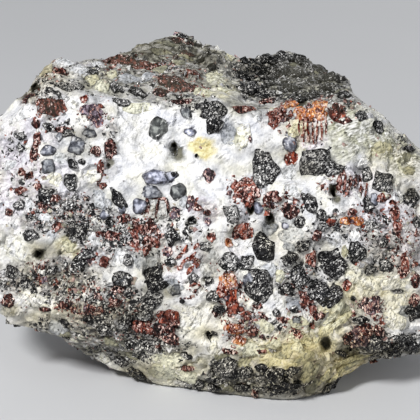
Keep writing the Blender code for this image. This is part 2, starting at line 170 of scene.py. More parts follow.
# Franklinite grains: pixel across, pixel down, half width, half height, turn in degrees, tone from
# black (0) to grey with many pale glints (1).
FRANKLINITE = [
    (213, 110, 17, 9, 0, 0.3), (214, 125, 9, 10, 0, 0.15), (264, 169, 13, 20, -15, 0.5),
    (315, 162, 19, 16, 10, 0.56), (333, 168, 11, 8, 20, 0.5), (383, 182, 12, 13, 0, 0.35),
    (367, 176, 6, 8, 0, 0.45), (411, 198, 9, 10, 0, 0.3), (310, 203, 8, 12, -30, 0.35),
    (263, 247, 13, 14, 0, 0.1), (290, 259, 9, 9, 0, 0.2), (299, 277, 12, 11, 20, 0.15),
    (286, 289, 9, 6, -15, 0.18), (259, 286, 14, 20, -20, 0.35), (333, 264, 14, 16, 0, 0.15),
    (319, 292, 11, 14, -10, 0.1), (336, 295, 9, 13, 10, 0.12), (302, 246, 9, 6, 0, 0.4),
    (155, 279, 13, 14, 0, 0.2), (151, 300, 12, 10, 0, 0.4), (232, 214, 9, 11, 0, 0.8),
    (246, 263, 8, 9, 0, 0.5), (229, 262, 10, 10, 0, 0.65), (357, 252, 9, 11, 0, 0.2),
    (118, 199, 6, 12, -35, 0.15), (70, 182, 7, 9, 0, 0.45), (77, 231, 11, 10, 0, 0.3),
    (80, 262, 8, 9, 0, 0.15), (122, 279, 12, 9, 10, 0.45), (128, 260, 6, 6, 10, 0.55),
    (137, 374, 10, 6, 25, 0.25), (122, 361, 8, 5, 25, 0.35), (226, 367, 11, 13, -15, 0.5),
    (272, 373, 10, 7, 0, 0.12), (46, 196, 8, 10, 0, 0.16), (375, 344, 9, 8, 0, 0.22),
    (284, 387, 17, 11, 0, 0.12), (293, 371, 8, 5, 0, 0.3), (331, 385, 10, 8, 0, 0.1),
    (394, 346, 11, 6, 0, 0.08), (410, 346, 9, 6, 0, 0.08), (413, 312, 8, 10, 0, 0.12),
    (361, 116, 6, 5, 20, 0.4), (378, 127, 7, 5, 35, 0.35), (139, 93, 12, 5, 10, 0.25),
    (69, 134, 7, 4, 0, 0.2), (116, 87, 6, 6, 0, 0.45), (120, 103, 10, 4, 10, 0.45),
    (110, 222, 5, 5, 0, 0.1), (175, 175, 3, 4, 0, 0.1), (192, 221, 4, 4, 0, 0.05),
    (213, 297, 7, 6, 35, 0.25), (193, 278, 5, 5, 0, 0.35), (209, 280, 5, 5, 0, 0.1),
    (182, 301, 3, 3, 0, 0.2), (209, 333, 4, 7, 0, 0.35), (219, 309, 6, 5, 0, 0.3),
    (48, 127, 6, 4, 20, 0.55), (303, 102, 9, 3.2, 0, 0.0), (353, 298, 2.6, 2.8, 0, 0.0),
    (196, 156, 1.8, 1.8, 0, 0.0), (397, 291, 7, 2.5, 5, 0.3), (361, 320, 8, 5, 0, 0.05),
    (294, 309, 4, 4, 20, 0.25), (340, 353, 6, 3, 20, 0.2), (323, 227, 6, 5, 0, 0.45),
    (20, 136, 7, 4, 0, 0.6), (12, 272, 8, 7, 0, 0.5), (28, 283, 8, 6, 0, 0.45), (72, 164, 5, 5, 0, 0.35),
    (82, 162, 4, 3, 0, 0.35), (69, 205, 8, 6, 0, 0.45), (30, 235, 8, 6, 0, 0.5), (20, 205, 7, 6, 0, 0.6),
    (88, 254, 7, 5, 0, 0.4), (172, 237, 8, 9, 0, 0.35), (170, 262, 6, 5, 0, 0.55),
    (206, 247, 7, 5, 0, 0.75), (145, 316, 9, 7, 0, 0.3), (125, 322, 9, 7, 0, 0.35),
    (105, 328, 8, 6, 0, 0.35), (88, 318, 6, 4, 0, 0.3), (150, 345, 12, 7, 0, 0.45),
    (130, 343, 6, 4, 0, 0.55), (300, 222, 6, 6, 0, 0.4), (322, 214, 5, 5, 0, 0.2),
    (368, 205, 7, 8, 0, 0.35), (377, 226, 5, 4, 0, 0.5), (384, 243, 5, 5, 0, 0.4),
    (416, 222, 4, 6, 0, 0.35), (386, 266, 9, 6, 0, 0.4), (371, 270, 6, 5, 0, 0.5), (276, 313, 4, 4, 0, 0.2),
    (262, 368, 7, 5, 0, 0.3), (187, 355, 6, 3.5, 0, 0.4), (199, 383, 6, 5, 0, 0.3),
    (214, 387, 7, 4, 0, 0.2), (246, 372, 6, 6, 0, 0.2), (242, 387, 8, 5, 0, 0.3), (70, 86, 13, 7, 0, 0.66),
    (203, 57, 8, 5, 0, 0.4), (212, 67, 5, 4, 0, 0.15), (93, 73, 5, 3, 0, 0.4), (183, 38, 6, 3, 0, 0.3),
    (250, 93, 9, 4, 0, 0.25), (65, 323, 6, 4, 0, 0.05), (52, 270, 6, 5, 0, 0.45), (34, 275, 5, 5, 0, 0.5),
    (408, 150, 6, 4, -20, 0.15),
]

# The right hump is nearly all franklinite. The same measures.
HUMP = [
    (252, 66, 10, 6, 0, 0.1), (268, 62, 11, 6, 0, 0.08), (286, 59, 11, 5, 0, 0.06),
    (303, 61, 10, 6, 0, 0.1), (318, 69, 9, 6, 0, 0.1), (333, 76, 9, 6, 25, 0.12), (245, 77, 10, 5, 0, 0.06),
    (262, 75, 10, 6, 0, 0.04), (280, 72, 12, 6, 0, 0.06), (298, 74, 10, 6, 0, 0.1),
    (314, 82, 10, 6, 0, 0.12), (330, 88, 10, 6, 20, 0.12), (254, 88, 12, 5, 0, 0.04),
    (274, 85, 10, 5, 0, 0.1), (292, 87, 11, 5, 0, 0.08), (311, 95, 9, 5, 0, 0.12),
    (345, 95, 8, 5, 30, 0.12), (266, 96, 11, 5, 0, 0.1), (298, 101, 9, 4, 0, 0.02),
]

# Smooth grey, greenish and lavender crystals: the same measures, and how lavender (1) or green (0).
CRYSTALS = [
    (158, 128, 10, 11, 10, 0.05), (186, 112, 6, 6, 0, 0.22), (160, 176, 16, 8, 0, 0.9),
    (169, 177, 7, 6, 0, 0.7), (178, 191, 8, 9, 0, 0.12), (151, 192, 9, 8, 0, 0.45),
    (139, 206, 8, 8, 0, 0.75), (290, 143, 7, 10, 0, 0.7), (48, 151, 8, 6, -20, 0.6),
    (258, 207, 5, 6, 0, 0.85), (374, 199, 5, 7, 0, 0.6), (249, 281, 7, 8, -20, 0.45),
    (104, 215, 5, 5, 0, 0.6), (122, 208, 4, 6, 0, 0.5), (296, 320, 5, 4, 0, 0.2), (76, 146, 9, 11, 10, 0.4),
    (90, 134, 7, 5, 10, 0.4), (48, 165, 8, 8, 0, 0.3), (59, 138, 3.5, 4.5, 0, 0.3),
    (286, 226, 5, 4, 0, 0.9), (176, 290, 6, 6, 0, 0.3), (120, 279, 8, 6, 10, 0.2),
    (190, 132, 7, 4, 0, 0.85),
]

# Zincite grains: the same measures, and a tone from dark red-brown (0) to orange (1).
ZINCITE = [
    (52, 107, 14, 10, 0, 0.42), (84, 99, 5, 4, 0, 0.68), (92, 111, 11, 8, 0, 0.0), (97, 121, 8, 6, 0, 0.02),
    (63, 130, 10, 3, 5, 0.2), (28, 98, 6, 7, 0, 0.14), (96, 151, 5, 6, 0, 0.13), (100, 172, 4, 11, 15, 0.3),
    (34, 152, 4, 12, 10, 0.22), (37, 138, 5, 7, 0, 0.25), (36, 123, 5, 6, 0, 0.2),
    (124, 61, 14, 7, -5, 0.42), (141, 65, 13, 6, 15, 0.36), (178, 84, 21, 11, 10, 0.36),
    (160, 92, 8, 5, 0, 0.12), (187, 54, 8, 3, 0, 0.2), (180, 41, 12, 3, 5, 0.12),
    (183, 102, 11, 3, 0, 0.13), (244, 109, 13, 4.5, 0, 0.42), (276, 115, 10, 12, 8, 0.52),
    (268, 102, 10, 3, 0, 0.12), (290, 105, 8, 4, 0, 0.92), (300, 112, 8, 6, 0, 0.88),
    (311, 113, 9, 6, 0, 0.98), (320, 104, 8, 8, 0, 1.0), (306, 119, 8, 3, 0, 0.8), (321, 115, 7, 6, 0, 0.9),
    (337, 112, 9, 9, 0, 0.52), (299, 127, 1.1, 9, 0, 0.62), (303.5, 132, 1.1, 12, 0, 0.66),
    (308, 134, 1.2, 13, -4, 0.7), (312.5, 133, 1.1, 13, 0, 0.6), (317, 132, 1.2, 12, 4, 0.7),
    (321.5, 129, 1.1, 10, 0, 0.62), (326, 126, 1.1, 9, 0, 0.6), (291, 158, 8, 7, 20, 0.66),
    (247, 191, 13, 13, 0, 0.5), (236, 186, 5, 6, 0, 0.5), (272, 196, 9, 6, 0, 0.15),
    (278, 198, 5, 4, 0, 0.3), (339, 183, 3.0, 9, 12, 0.22), (344.5, 184, 1.6, 11, 12, 0.35),
    (350, 183, 1.2, 12, 10, 0.42), (355.5, 181, 1.2, 11, 14, 0.4), (361, 186, 1.2, 10, 12, 0.45),
    (366, 190, 1.2, 8, 10, 0.4), (342, 173, 4, 3, 0, 0.35), (243, 232, 14, 8, -33, 0.6),
    (229, 243, 5, 4, 0, 0.9), (212, 237, 5, 5, 0, 0.45), (209, 175, 7, 8, 0, 0.08),
    (190, 203, 4, 9, 10, 0.08), (208, 222, 4, 4, 0, 0.0), (250, 139, 2.4, 3.6, 0, 0.1),
    (228, 281, 10, 8, 0, 0.9), (222, 290, 5, 10, 0, 0.66), (231, 296, 8, 10, 0, 0.64),
    (232, 309, 6, 7, 0, 0.56), (234, 329, 11, 6, 0, 0.84), (239, 340, 8, 6, 0, 0.82),
    (230, 351, 8, 3, 8, 0.12), (246, 316, 6, 6, 0, 0.45), (252, 332, 6, 5, 0, 0.45),
    (258, 306, 5, 4, 0, 0.3), (346, 285, 5, 6, 0, 0.6), (395, 213, 5, 9, 0, 0.45),
    (398, 228, 5, 8, 0, 0.55), (381, 198, 6, 5, 0, 0.5), (345, 221, 7, 4, 0, 0.92),
    (357, 221, 7, 5, 0, 0.85), (352, 212, 5, 4, 0, 0.4), (366, 228, 6, 4, 0, 0.7),
    (317, 236, 5, 6, 0, 0.12), (331, 222, 5, 4, 0, 0.6), (312, 259, 5, 9, -10, 0.5),
    (298, 284, 6, 5, 0, 0.2), (305, 299, 4.5, 11, -38, 0.28), (314, 312, 4.5, 9, -25, 0.35),
    (312, 325, 3.5, 3, 0, 0.5), (322, 316, 4, 5, 0, 0.15), (283, 320, 6, 4, 20, 0.35),
    (296, 333, 8, 4, 10, 0.32), (263, 318, 5, 5, 0, 0.2), (165, 317, 9, 7, 0, 0.62),
    (145, 328, 9, 7, 0, 0.5), (158, 330, 7, 8, 0, 0.12), (171, 332, 6, 9, 0, 0.2),
    (188, 368, 6, 4, 10, 0.4), (255, 393, 4, 5, 0, 0.4), (66, 304, 9, 6, 0, 0.16), (45, 309, 6, 3, 0, 0.2),
    (93, 311, 10, 6, 0, 0.2), (115, 303, 7, 4, 0, 0.3), (8, 301, 7, 7, 0, 0.2), (38, 186, 5, 4, 0, 0.35),
    (22, 190, 6, 4, 0, 0.3), (22, 172, 4, 4, 0, 0.35), (30, 177, 6, 5, 0, 0.25), (10, 212, 5, 4, 0, 0.25),
    (44, 205, 5, 4, 0, 0.3), (56, 198, 5, 4, 0, 0.3), (103, 186, 4, 4, 0, 0.4), (110, 236, 6, 6, 0, 0.2),
    (125, 218, 8, 5, 0, 0.2), (137, 231, 10, 7, 0, 0.36), (150, 226, 7, 7, 0, 0.28),
    (153, 242, 7, 6, 0, 0.42), (134, 243, 7, 5, 0, 0.42), (57, 226, 6, 5, 0, 0.35),
    (168, 252, 6, 5, 0, 0.06), (104, 262, 6, 5, 0, 0.3), (42, 268, 4, 4, 0, 0.25),
    (198, 208, 5, 3, 15, 0.25), (207, 213, 4, 3, 0, 0.3), (147, 205, 1.8, 8, 0, 0.16),
    (157, 208, 1.8, 9, 8, 0.14), (167, 206, 1.8, 8, -8, 0.16), (154, 198, 5, 1.6, 0, 0.16),
    (175, 213, 6, 6, 0, 0.04), (163, 199, 5, 1.6, 10, 0.3), (186, 250, 6, 1.9, -50, 0.62),
    (192, 257, 7, 1.9, -50, 0.62), (184, 262, 6, 1.8, -45, 0.58), (190, 269, 6, 1.8, -40, 0.6),
    (198, 264, 5, 1.8, -60, 0.55), (179, 256, 5, 1.8, -50, 0.6), (196, 246, 5, 1.7, -50, 0.58),
    (180, 268, 4, 2, -30, 0.5), (216, 313, 4, 5, 0, 0.16), (262, 351, 5, 3, 0, 0.4),
    (110, 61, 7, 3, 0, 0.25), (61, 72, 8, 4, 10, 0.12), (154, 66, 7, 3, 0, 0.3), (192, 72, 9, 3, 0, 0.34),
    (347, 121, 5, 3, -20, 0.3), (416, 280, 5, 8, 0, 0.25), (100, 234, 6, 4, 0, 0.25),
]

# Dark, blocky zincite that stands out as franklinite does.
DARK_ZINCITE = [
    (370, 305, 11, 10, 0, 0.09), (359, 338, 12, 11, -10, 0.08), (349, 340, 7, 9, 0, 0.12),
    (366, 329, 10, 6, 10, 0.24), (378, 331, 8, 5, 10, 0.16), (404, 262, 4.5, 12, -14, 0.5),
    (402, 273, 5, 6, 0, 0.3), (172, 318, 8, 10, -20, 0.6), (140, 326, 9, 6, 0, 0.52),
    (172, 338, 8, 7, 0, 0.16), (118, 289, 7, 5, 0, 0.25), (110, 149, 6, 10, -10, 0.12),
    (290, 211, 11, 8, 35, 0.14), (414, 300, 6, 7, 0, 0.2),
]

# Cleavage blocks of calcite: the same measures, and a tone from lavender grey (0) through pale grey
# (0.25) and white (0.5) to cream (0.75) and beige (1).
CALCITE = [
    (76, 103, 10, 8, 20, 0.5), (22, 112, 15, 8, -10, 0.46), (60, 158, 8, 7, 30, 0.3),
    (92, 176, 9, 8, 0, 0.62), (55, 179, 8, 7, 20, 0.7), (104, 201, 9, 14, -25, 0.26),
    (15, 251, 15, 11, 0, 0.6), (50, 238, 12, 5, -55, 0.28), (96, 239, 8, 7, 15, 0.42),
    (120, 258, 9, 11, 20, 0.46), (36, 300, 22, 9, -6, 0.58), (14, 312, 12, 6, -10, 0.55),
    (152, 205, 4, 6, 0, 0.5), (162, 210, 5, 8, 0, 0.4), (174, 287, 9, 9, 20, 0.18),
    (191, 318, 14, 15, 20, 0.58), (140, 262, 8, 8, 20, 0.24), (57, 329, 12, 7, 10, 0.18),
    (101, 357, 9, 6, 0, 0.6), (228, 133, 8, 14, -8, 0.12), (243, 136, 8, 13, 10, 0.66),
    (288, 172, 7, 9, 25, 0.4), (293, 188, 9, 9, 30, 0.46), (362, 164, 11, 6, 10, 0.46),
    (233, 243, 6, 5, 0, 0.55), (250, 243, 5, 5, 0, 0.5), (270, 229, 8, 7, 10, 0.08),
    (291, 222, 12, 6, 10, 0.2), (291, 235, 15, 9, 15, 0.24), (288, 246, 7, 6, 40, 0.18),
    (268, 270, 9, 8, -30, 0.26), (279, 302, 4.5, 16, -10, 0.5), (293, 304, 8, 9, 20, 0.12),
    (335, 240, 9, 8, 20, 0.44), (352, 275, 8, 11, 10, 0.7), (368, 283, 14, 9, 10, 0.72),
    (392, 283, 20, 9, -5, 0.64), (398, 300, 18, 11, 0, 0.7), (372, 292, 12, 6, -10, 0.76),
    (394, 320, 14, 10, 20, 0.68), (406, 310, 7, 8, 0, 0.2), (215, 346, 8, 10, 20, 0.6),
    (66, 63, 15, 4, 0, 0.34), (80, 70, 12, 5, 10, 0.36), (98, 65, 8, 3, 0, 0.42),
    (192, 66, 9, 3.5, 0, 0.34), (131, 79, 15, 6, 0, 0.2), (149, 77, 7, 7, 0, 0.2),
    (150, 48, 10, 3, 0, 0.34), (278, 93, 5, 2, 0, 0.5), (185, 202, 7, 6, 0, 0.2), (46, 71, 6, 9, 30, 0.98),
    (212, 255, 8, 6, 30, 0.4), (10, 165, 7, 6, 0, 0.36), (28, 205, 9, 7, 20, 0.4), (45, 218, 7, 5, 0, 0.3),
    (152, 262, 5, 7, -20, 0.24), (206, 270, 5, 9, -30, 0.48), (293, 113, 4, 8, 25, 0.2),
    (258, 114, 6, 6, 0, 0.34), (217, 50, 7, 4, 25, 0.5), (324.5, 297, 1.4, 9, 0, 0.36),
    (355, 236, 6, 6, 0, 0.44), (372, 235, 5, 5, 0, 0.5), (398, 196, 8, 8, 0, 0.5),
]

# Willemite and weathered calcite: the same measures, and a tone from olive grey (0) through green
# grey (0.35) and yellowish (0.65) to pale green (1).
WILLEMITE = [
    (170, 359, 20, 9, -5, 1.0), (166, 373, 16, 10, 5, 1.15), (186, 379, 13, 8, 5, 1.1),
    (294, 131, 6, 7, 0, 0.82), (382, 148, 13, 6, -10, 0.56), (404, 158, 10, 4, -20, 0.4),
    (216, 78, 12, 7, 10, 0.92), (226, 89, 12, 6, 0, 0.86), (280, 276, 6, 7, -20, 0.84),
    (339, 304, 6, 11, 25, 0.8), (326, 331, 7, 10, 35, 0.8), (253, 349, 13, 9, 0, 1.0),
    (274, 345, 8, 6, 20, 0.96), (287, 350, 7, 8, -15, 0.66), (281, 356, 9, 4, 0, 0.48),
    (298, 347, 7, 6, 30, 0.88), (307, 355, 7, 6, -20, 0.56), (275, 362, 12, 5, 0, 0.62),
    (263, 328, 11, 9, 10, 0.9), (298, 322, 10, 6, 0, 0.8), (294, 337, 7, 5, 20, 0.96),
    (306, 340, 6, 6, -10, 0.72), (101, 85, 8, 7, 0, 0.9), (112, 73, 6, 5, 0, 0.8),
    (138, 108, 14, 6, 0, 0.94), (206, 92, 12, 5, 0, 0.84), (229, 57, 6, 6, 30, 0.86),
    (69, 246, 8, 8, 0, 0.72), (240, 139, 6, 9, 0, 0.84), (409, 171, 8, 5, -20, 0.46),
    (160, 52, 12, 4, 0, 0.42), (92, 80, 7, 5, 0, 0.74), (168, 44, 10, 3, 0, 0.36), (185, 58, 8, 4, 0, 0.5),
    (160, 70, 8, 4, 0, 0.44), (180, 63, 7, 3, 0, 0.4), (320, 74, 8, 3, 0, 0.42), (345, 92, 10, 4, 30, 0.34),
    (296, 66, 7, 3, 0, 0.34), (309, 372, 8, 12, 0, 0.46), (311, 386, 7, 9, 0, 0.36),
    (226, 388, 9, 4, 0, 0.34), (244, 362, 9, 5, 0, 0.56), (300, 362, 9, 5, 0, 0.52),
    (130, 356, 9, 5, 0, 0.42), (112, 342, 8, 5, 0, 0.46), (222, 357, 8, 4, 0, 0.4),
    (345, 252, 4, 6, 0, 0.6), (64, 335, 9, 4, 0, 0.36), (344, 309, 5, 6, 20, 0.44),
]

# Thin leaves of weathered calcite that fan out at the lower right: the same measures.
LEAVES = [
    (349, 360, 20, 3.2, -18, 0.62), (347, 367, 18, 2.8, -24, 0.46), (338, 372, 14, 2.8, -34, 0.6),
    (326, 376, 12, 2.8, -52, 0.48), (315, 371, 11, 3.0, -78, 0.38), (335, 325, 16, 3.4, -36, 0.84),
    (343, 317, 12, 3.2, -42, 0.66), (322, 333, 12, 3.0, -56, 0.74), (331, 317, 10, 2.6, -48, 0.92),
]

# Hollows that lost grains have left: pixel across, pixel down, half width, half height, depth, and how
# dark the painted shade inside it is.
HOLLOWS = [
    (174, 145, 2.6, 3.0, 1.2, 0.95), (178, 153, 7, 9, 0.8, 0.46), (250, 208, 4.5, 7, 1.5, 0.9),
    (270, 216, 4.5, 4, 1.2, 0.85), (271, 226, 7, 8, 0.6, 0.36), (333, 190, 4, 7, 1.3, 0.9),
    (337, 199, 5, 5, 0.9, 0.48), (36, 88, 5, 5, 1.4, 0.95), (40, 254, 6, 5.5, 1.3, 0.95),
    (326, 343, 6, 7.5, 1.3, 0.58), (111, 162, 4.5, 7, 0.6, 0.42), (349, 273, 4, 6, 0.8, 0.45),
    (192, 221, 4.5, 4.5, 1.0, 0.9), (302, 103, 8, 3.5, 1.0, 0.85), (110, 222, 4, 4, 0.7, 0.6),
    (208, 280, 5, 4, 0.7, 0.66), (60, 253, 3, 3, 0.6, 0.5),
]
HOLLOW_EDGE = (1.15, 0.55)
HOLLOW_FACING = 0.1
HOLLOW_WAVE = 0.9
HOLLOW_UNEVEN = 0.35

# Where the skin rises above the CAD stone's outline, or sinks: pixel across, pixel down, half width,
# half height, rise.
SWELLS = [
    (215, 57, 17, 14, 1.35), (188, 34, 10, 8, -0.45), (112, 354, 18, 9, 0.6), (70, 334, 16, 9, 0.5),
    (382, 357, 22, 9, 0.45), (268, 58, 26, 10, -0.3), (332, 76, 14, 10, 0.35), (10, 98, 10, 9, 0.4),
]
SWELL_EDGE = (1.25, 0.35)

# How the fine minerals are spread over what the photograph shows. Each zone is a pixel ellipse:
# across, down, half width, half height, share at its middle.
SPECKLE = {
    "franklinite": [
        (18, 190, 34, 44, 0.17), (15, 145, 16, 14, 0.26), (60, 214, 46, 26, 0.42), (110, 230, 44, 26, 0.44),
        (180, 230, 28, 12, 0.4), (60, 282, 46, 24, 0.4), (12, 278, 24, 16, 0.5), (172, 213, 12, 12, 0.4),
        (328, 228, 20, 16, 0.4), (62, 130, 14, 9, 0.36), (92, 148, 10, 8, 0.3), (116, 308, 38, 30, 0.54),
        (150, 345, 36, 20, 0.52), (60, 328, 44, 12, 0.46), (372, 238, 30, 30, 0.32),
        (410, 262, 18, 26, 0.16), (282, 385, 32, 14, 0.6), (225, 372, 24, 18, 0.56),
        (200, 386, 30, 7, 0.45), (245, 382, 20, 14, 0.56), (110, 350, 30, 12, 0.38),
        (120, 74, 90, 24, 0.24), (200, 60, 46, 20, 0.3), (296, 78, 64, 28, 0.76), (255, 68, 26, 12, 0.9),
        (350, 105, 30, 12, 0.22), (408, 140, 16, 10, 0.34), (50, 88, 30, 20, 0.3), (170, 100, 46, 9, 0.26),
        (262, 325, 34, 14, 0.26), (300, 280, 30, 22, 0.34), (30, 130, 36, 18, 0.06),
        (390, 346, 48, 14, 0.8), (250, 220, 30, 10, 0.2), (310, 240, 20, 14, 0.18),
        (320, 210, 22, 12, 0.16), (90, 190, 20, 12, 0.08), (355, 150, 44, 24, 0.04),
        (185, 345, 16, 7, 0.36), (110, 132, 12, 9, 0.24), (205, 243, 26, 10, 0.14),
        (150, 258, 20, 14, 0.26), (188, 105, 12, 6, 0.4),
    ],
    "zincite": [
        (14, 180, 34, 50, 0.1), (70, 205, 24, 16, 0.34), (400, 250, 24, 26, 0.36), (50, 108, 18, 14, 0.4),
        (95, 114, 20, 18, 0.3), (138, 232, 34, 22, 0.46), (100, 245, 30, 22, 0.28), (60, 215, 40, 24, 0.34),
        (190, 262, 40, 24, 0.18), (154, 326, 24, 24, 0.4), (95, 300, 50, 20, 0.42), (110, 340, 40, 14, 0.2),
        (50, 275, 40, 18, 0.36), (232, 300, 14, 36, 0.45), (238, 334, 20, 14, 0.48),
        (246, 192, 22, 18, 0.36), (282, 205, 28, 14, 0.4), (345, 185, 28, 18, 0.26),
        (376, 222, 36, 26, 0.32), (400, 226, 26, 42, 0.34), (312, 110, 36, 14, 0.42),
        (313, 132, 14, 18, 0.12), (250, 322, 20, 16, 0.46), (278, 117, 14, 16, 0.36),
        (368, 316, 24, 22, 0.36), (150, 68, 60, 20, 0.26), (178, 84, 32, 15, 0.36), (50, 72, 18, 12, 0.3),
        (300, 318, 26, 14, 0.24), (30, 130, 30, 16, 0.08), (300, 292, 24, 24, 0.28),
        (16, 302, 20, 10, 0.24), (338, 112, 20, 14, 0.32), (110, 158, 12, 24, 0.2),
        (205, 210, 20, 12, 0.16), (193, 291, 14, 10, 0.4), (290, 336, 24, 8, 0.24),
        (358, 262, 16, 12, 0.24),
    ],
    "willemite": [
        (360, 130, 50, 34, 0.38), (395, 150, 40, 20, 0.55), (215, 84, 40, 18, 0.4), (104, 80, 30, 14, 0.5),
        (285, 352, 56, 24, 0.62), (345, 365, 24, 16, 0.66), (385, 288, 46, 22, 0.4),
        (180, 366, 44, 24, 0.34), (70, 250, 16, 10, 0.5), (232, 58, 20, 12, 0.45), (300, 140, 10, 16, 0.4),
        (280, 277, 12, 14, 0.45), (15, 240, 26, 26, 0.16), (90, 360, 30, 12, 0.36),
        (160, 382, 40, 10, 0.34), (370, 275, 24, 12, 0.46), (240, 138, 8, 12, 0.4),
        (325, 328, 24, 26, 0.55), (230, 386, 40, 10, 0.26), (60, 315, 30, 12, 0.2),
        (120, 350, 40, 14, 0.26),
    ],
    # Dirt and painted shade: dark streaky colour over the weathered top, the hump, the bottom edge that turns
    # under and other low places.
    "dirt_and_shade": [
        (150, 72, 112, 28, 0.55), (300, 78, 72, 30, 1.0), (240, 384, 60, 18, 0.72), (175, 48, 70, 20, 0.8),
        (170, 98, 50, 9, 0.5), (250, 100, 30, 8, 0.5), (310, 386, 40, 16, 0.6), (90, 342, 90, 20, 0.7),
        (388, 350, 56, 12, 0.9), (60, 322, 54, 14, 0.3), (124, 306, 50, 30, 0.38), (64, 216, 44, 24, 0.28),
        (110, 228, 40, 24, 0.38), (62, 280, 44, 22, 0.35), (370, 240, 34, 30, 0.12),
        (165, 325, 30, 22, 0.45), (370, 315, 22, 18, 0.35), (45, 80, 20, 12, 0.3), (195, 250, 44, 20, 0.04),
        (345, 104, 16, 8, 0.35), (408, 140, 16, 9, 0.35), (285, 360, 56, 18, 0.22), (95, 180, 24, 16, 0.15),
        (350, 95, 20, 14, 0.5), (300, 278, 26, 20, 0.35), (330, 235, 24, 14, 0.14), (285, 212, 22, 9, 0.3),
    ],
    "brown": [
        (55, 276, 40, 18, 0.5), (20, 285, 30, 14, 0.55), (110, 320, 50, 22, 0.5), (100, 343, 40, 14, 0.45),
        (311, 376, 14, 20, 0.7), (345, 320, 12, 20, 0.3), (355, 365, 30, 10, 0.4), (28, 98, 12, 12, 0.6),
        (46, 74, 9, 10, 0.4), (60, 220, 40, 18, 0.3), (95, 255, 30, 12, 0.35), (150, 68, 60, 20, 0.28),
        (300, 90, 50, 14, 0.2), (392, 245, 24, 24, 0.25), (242, 378, 22, 16, 0.5), (308, 352, 10, 12, 0.3),
        (110, 132, 12, 9, 0.3), (330, 236, 24, 16, 0.22), (206, 212, 16, 9, 0.4), (156, 208, 16, 10, 0.5),
        (150, 312, 14, 8, 0.4), (375, 262, 16, 10, 0.45), (170, 245, 12, 8, 0.4),
    ],
    "fibre": [
        (345, 124, 26, 18, 0.95), (370, 138, 26, 18, 0.9), (394, 150, 26, 14, 0.9), (408, 164, 20, 18, 0.9),
        (346, 148, 22, 14, 0.75),
    ],
    "pink": [
        (14, 185, 40, 50, 0.6), (34, 132, 36, 20, 0.35), (60, 205, 36, 20, 0.36), (205, 210, 22, 12, 0.5),
        (190, 262, 30, 20, 0.34), (312, 130, 18, 20, 0.95), (350, 182, 28, 18, 0.55),
        (380, 222, 34, 30, 0.5), (60, 180, 26, 26, 0.3), (225, 255, 24, 16, 0.2), (75, 62, 26, 8, 0.4),
        (390, 132, 24, 12, 0.35), (408, 240, 20, 30, 0.5),
    ],
    # Grey calcite; the zones at (178, 153) and (271, 226) paint grey shade inside two hollows.
    "grey": [
        (227, 137, 10, 16, 0.6), (302, 240, 18, 14, 0.45), (258, 116, 18, 9, 0.4), (271, 226, 11, 11, 0.7),
        (178, 153, 9, 12, 0.6), (280, 150, 26, 8, 0.3), (335, 204, 9, 8, 0.5), (115, 285, 26, 12, 0.4),
        (150, 250, 30, 12, 0.34), (60, 225, 50, 14, 0.34), (210, 242, 32, 12, 0.2), (290, 302, 12, 18, 0.5),
        (160, 200, 24, 14, 0.36), (75, 150, 26, 20, 0.34), (215, 268, 30, 12, 0.2), (168, 130, 12, 10, 0.4),
        (180, 95, 100, 10, 0.3), (140, 76, 30, 12, 0.6), (180, 52, 60, 16, 0.34), (180, 345, 18, 8, 0.4),
        (120, 192, 30, 12, 0.26), (362, 156, 28, 12, 0.3), (405, 306, 12, 12, 0.45), (57, 328, 18, 9, 0.5),
        (112, 130, 12, 10, 0.35),
    ],
    "stain": [
        (192, 149, 9, 5, 0.8), (204, 148, 12, 8, 1.0), (384, 150, 18, 9, 0.5), (285, 352, 50, 20, 0.36),
        (345, 365, 20, 12, 0.4), (46, 72, 8, 10, 0.3), (340, 300, 26, 24, 0.4), (300, 125, 8, 14, 0.36),
        (375, 290, 16, 9, 0.34), (113, 73, 6, 5, 0.6), (101, 85, 8, 6, 0.34), (70, 250, 12, 8, 0.3),
        (225, 90, 26, 9, 0.2), (20, 255, 24, 16, 0.1), (205, 325, 20, 20, 0.12), (178, 368, 30, 18, 0.16),
    ],
}
ZONE_EDGE = (1.25, 0.55)
ZONE_WARP_PIXELS = 7.0
ZONE_WARP_SIZE = 3.2
ZONE_WARP_PLACES = (Vector((2, 9, 4)), Vector((8, 1, 6)))
# The zones hold where the surface faces the eye, and inside the photograph's left and right edges.
ZONE_FACING = (-0.30, 0.05)
ZONE_FRAME = (-16.0, 4.0)
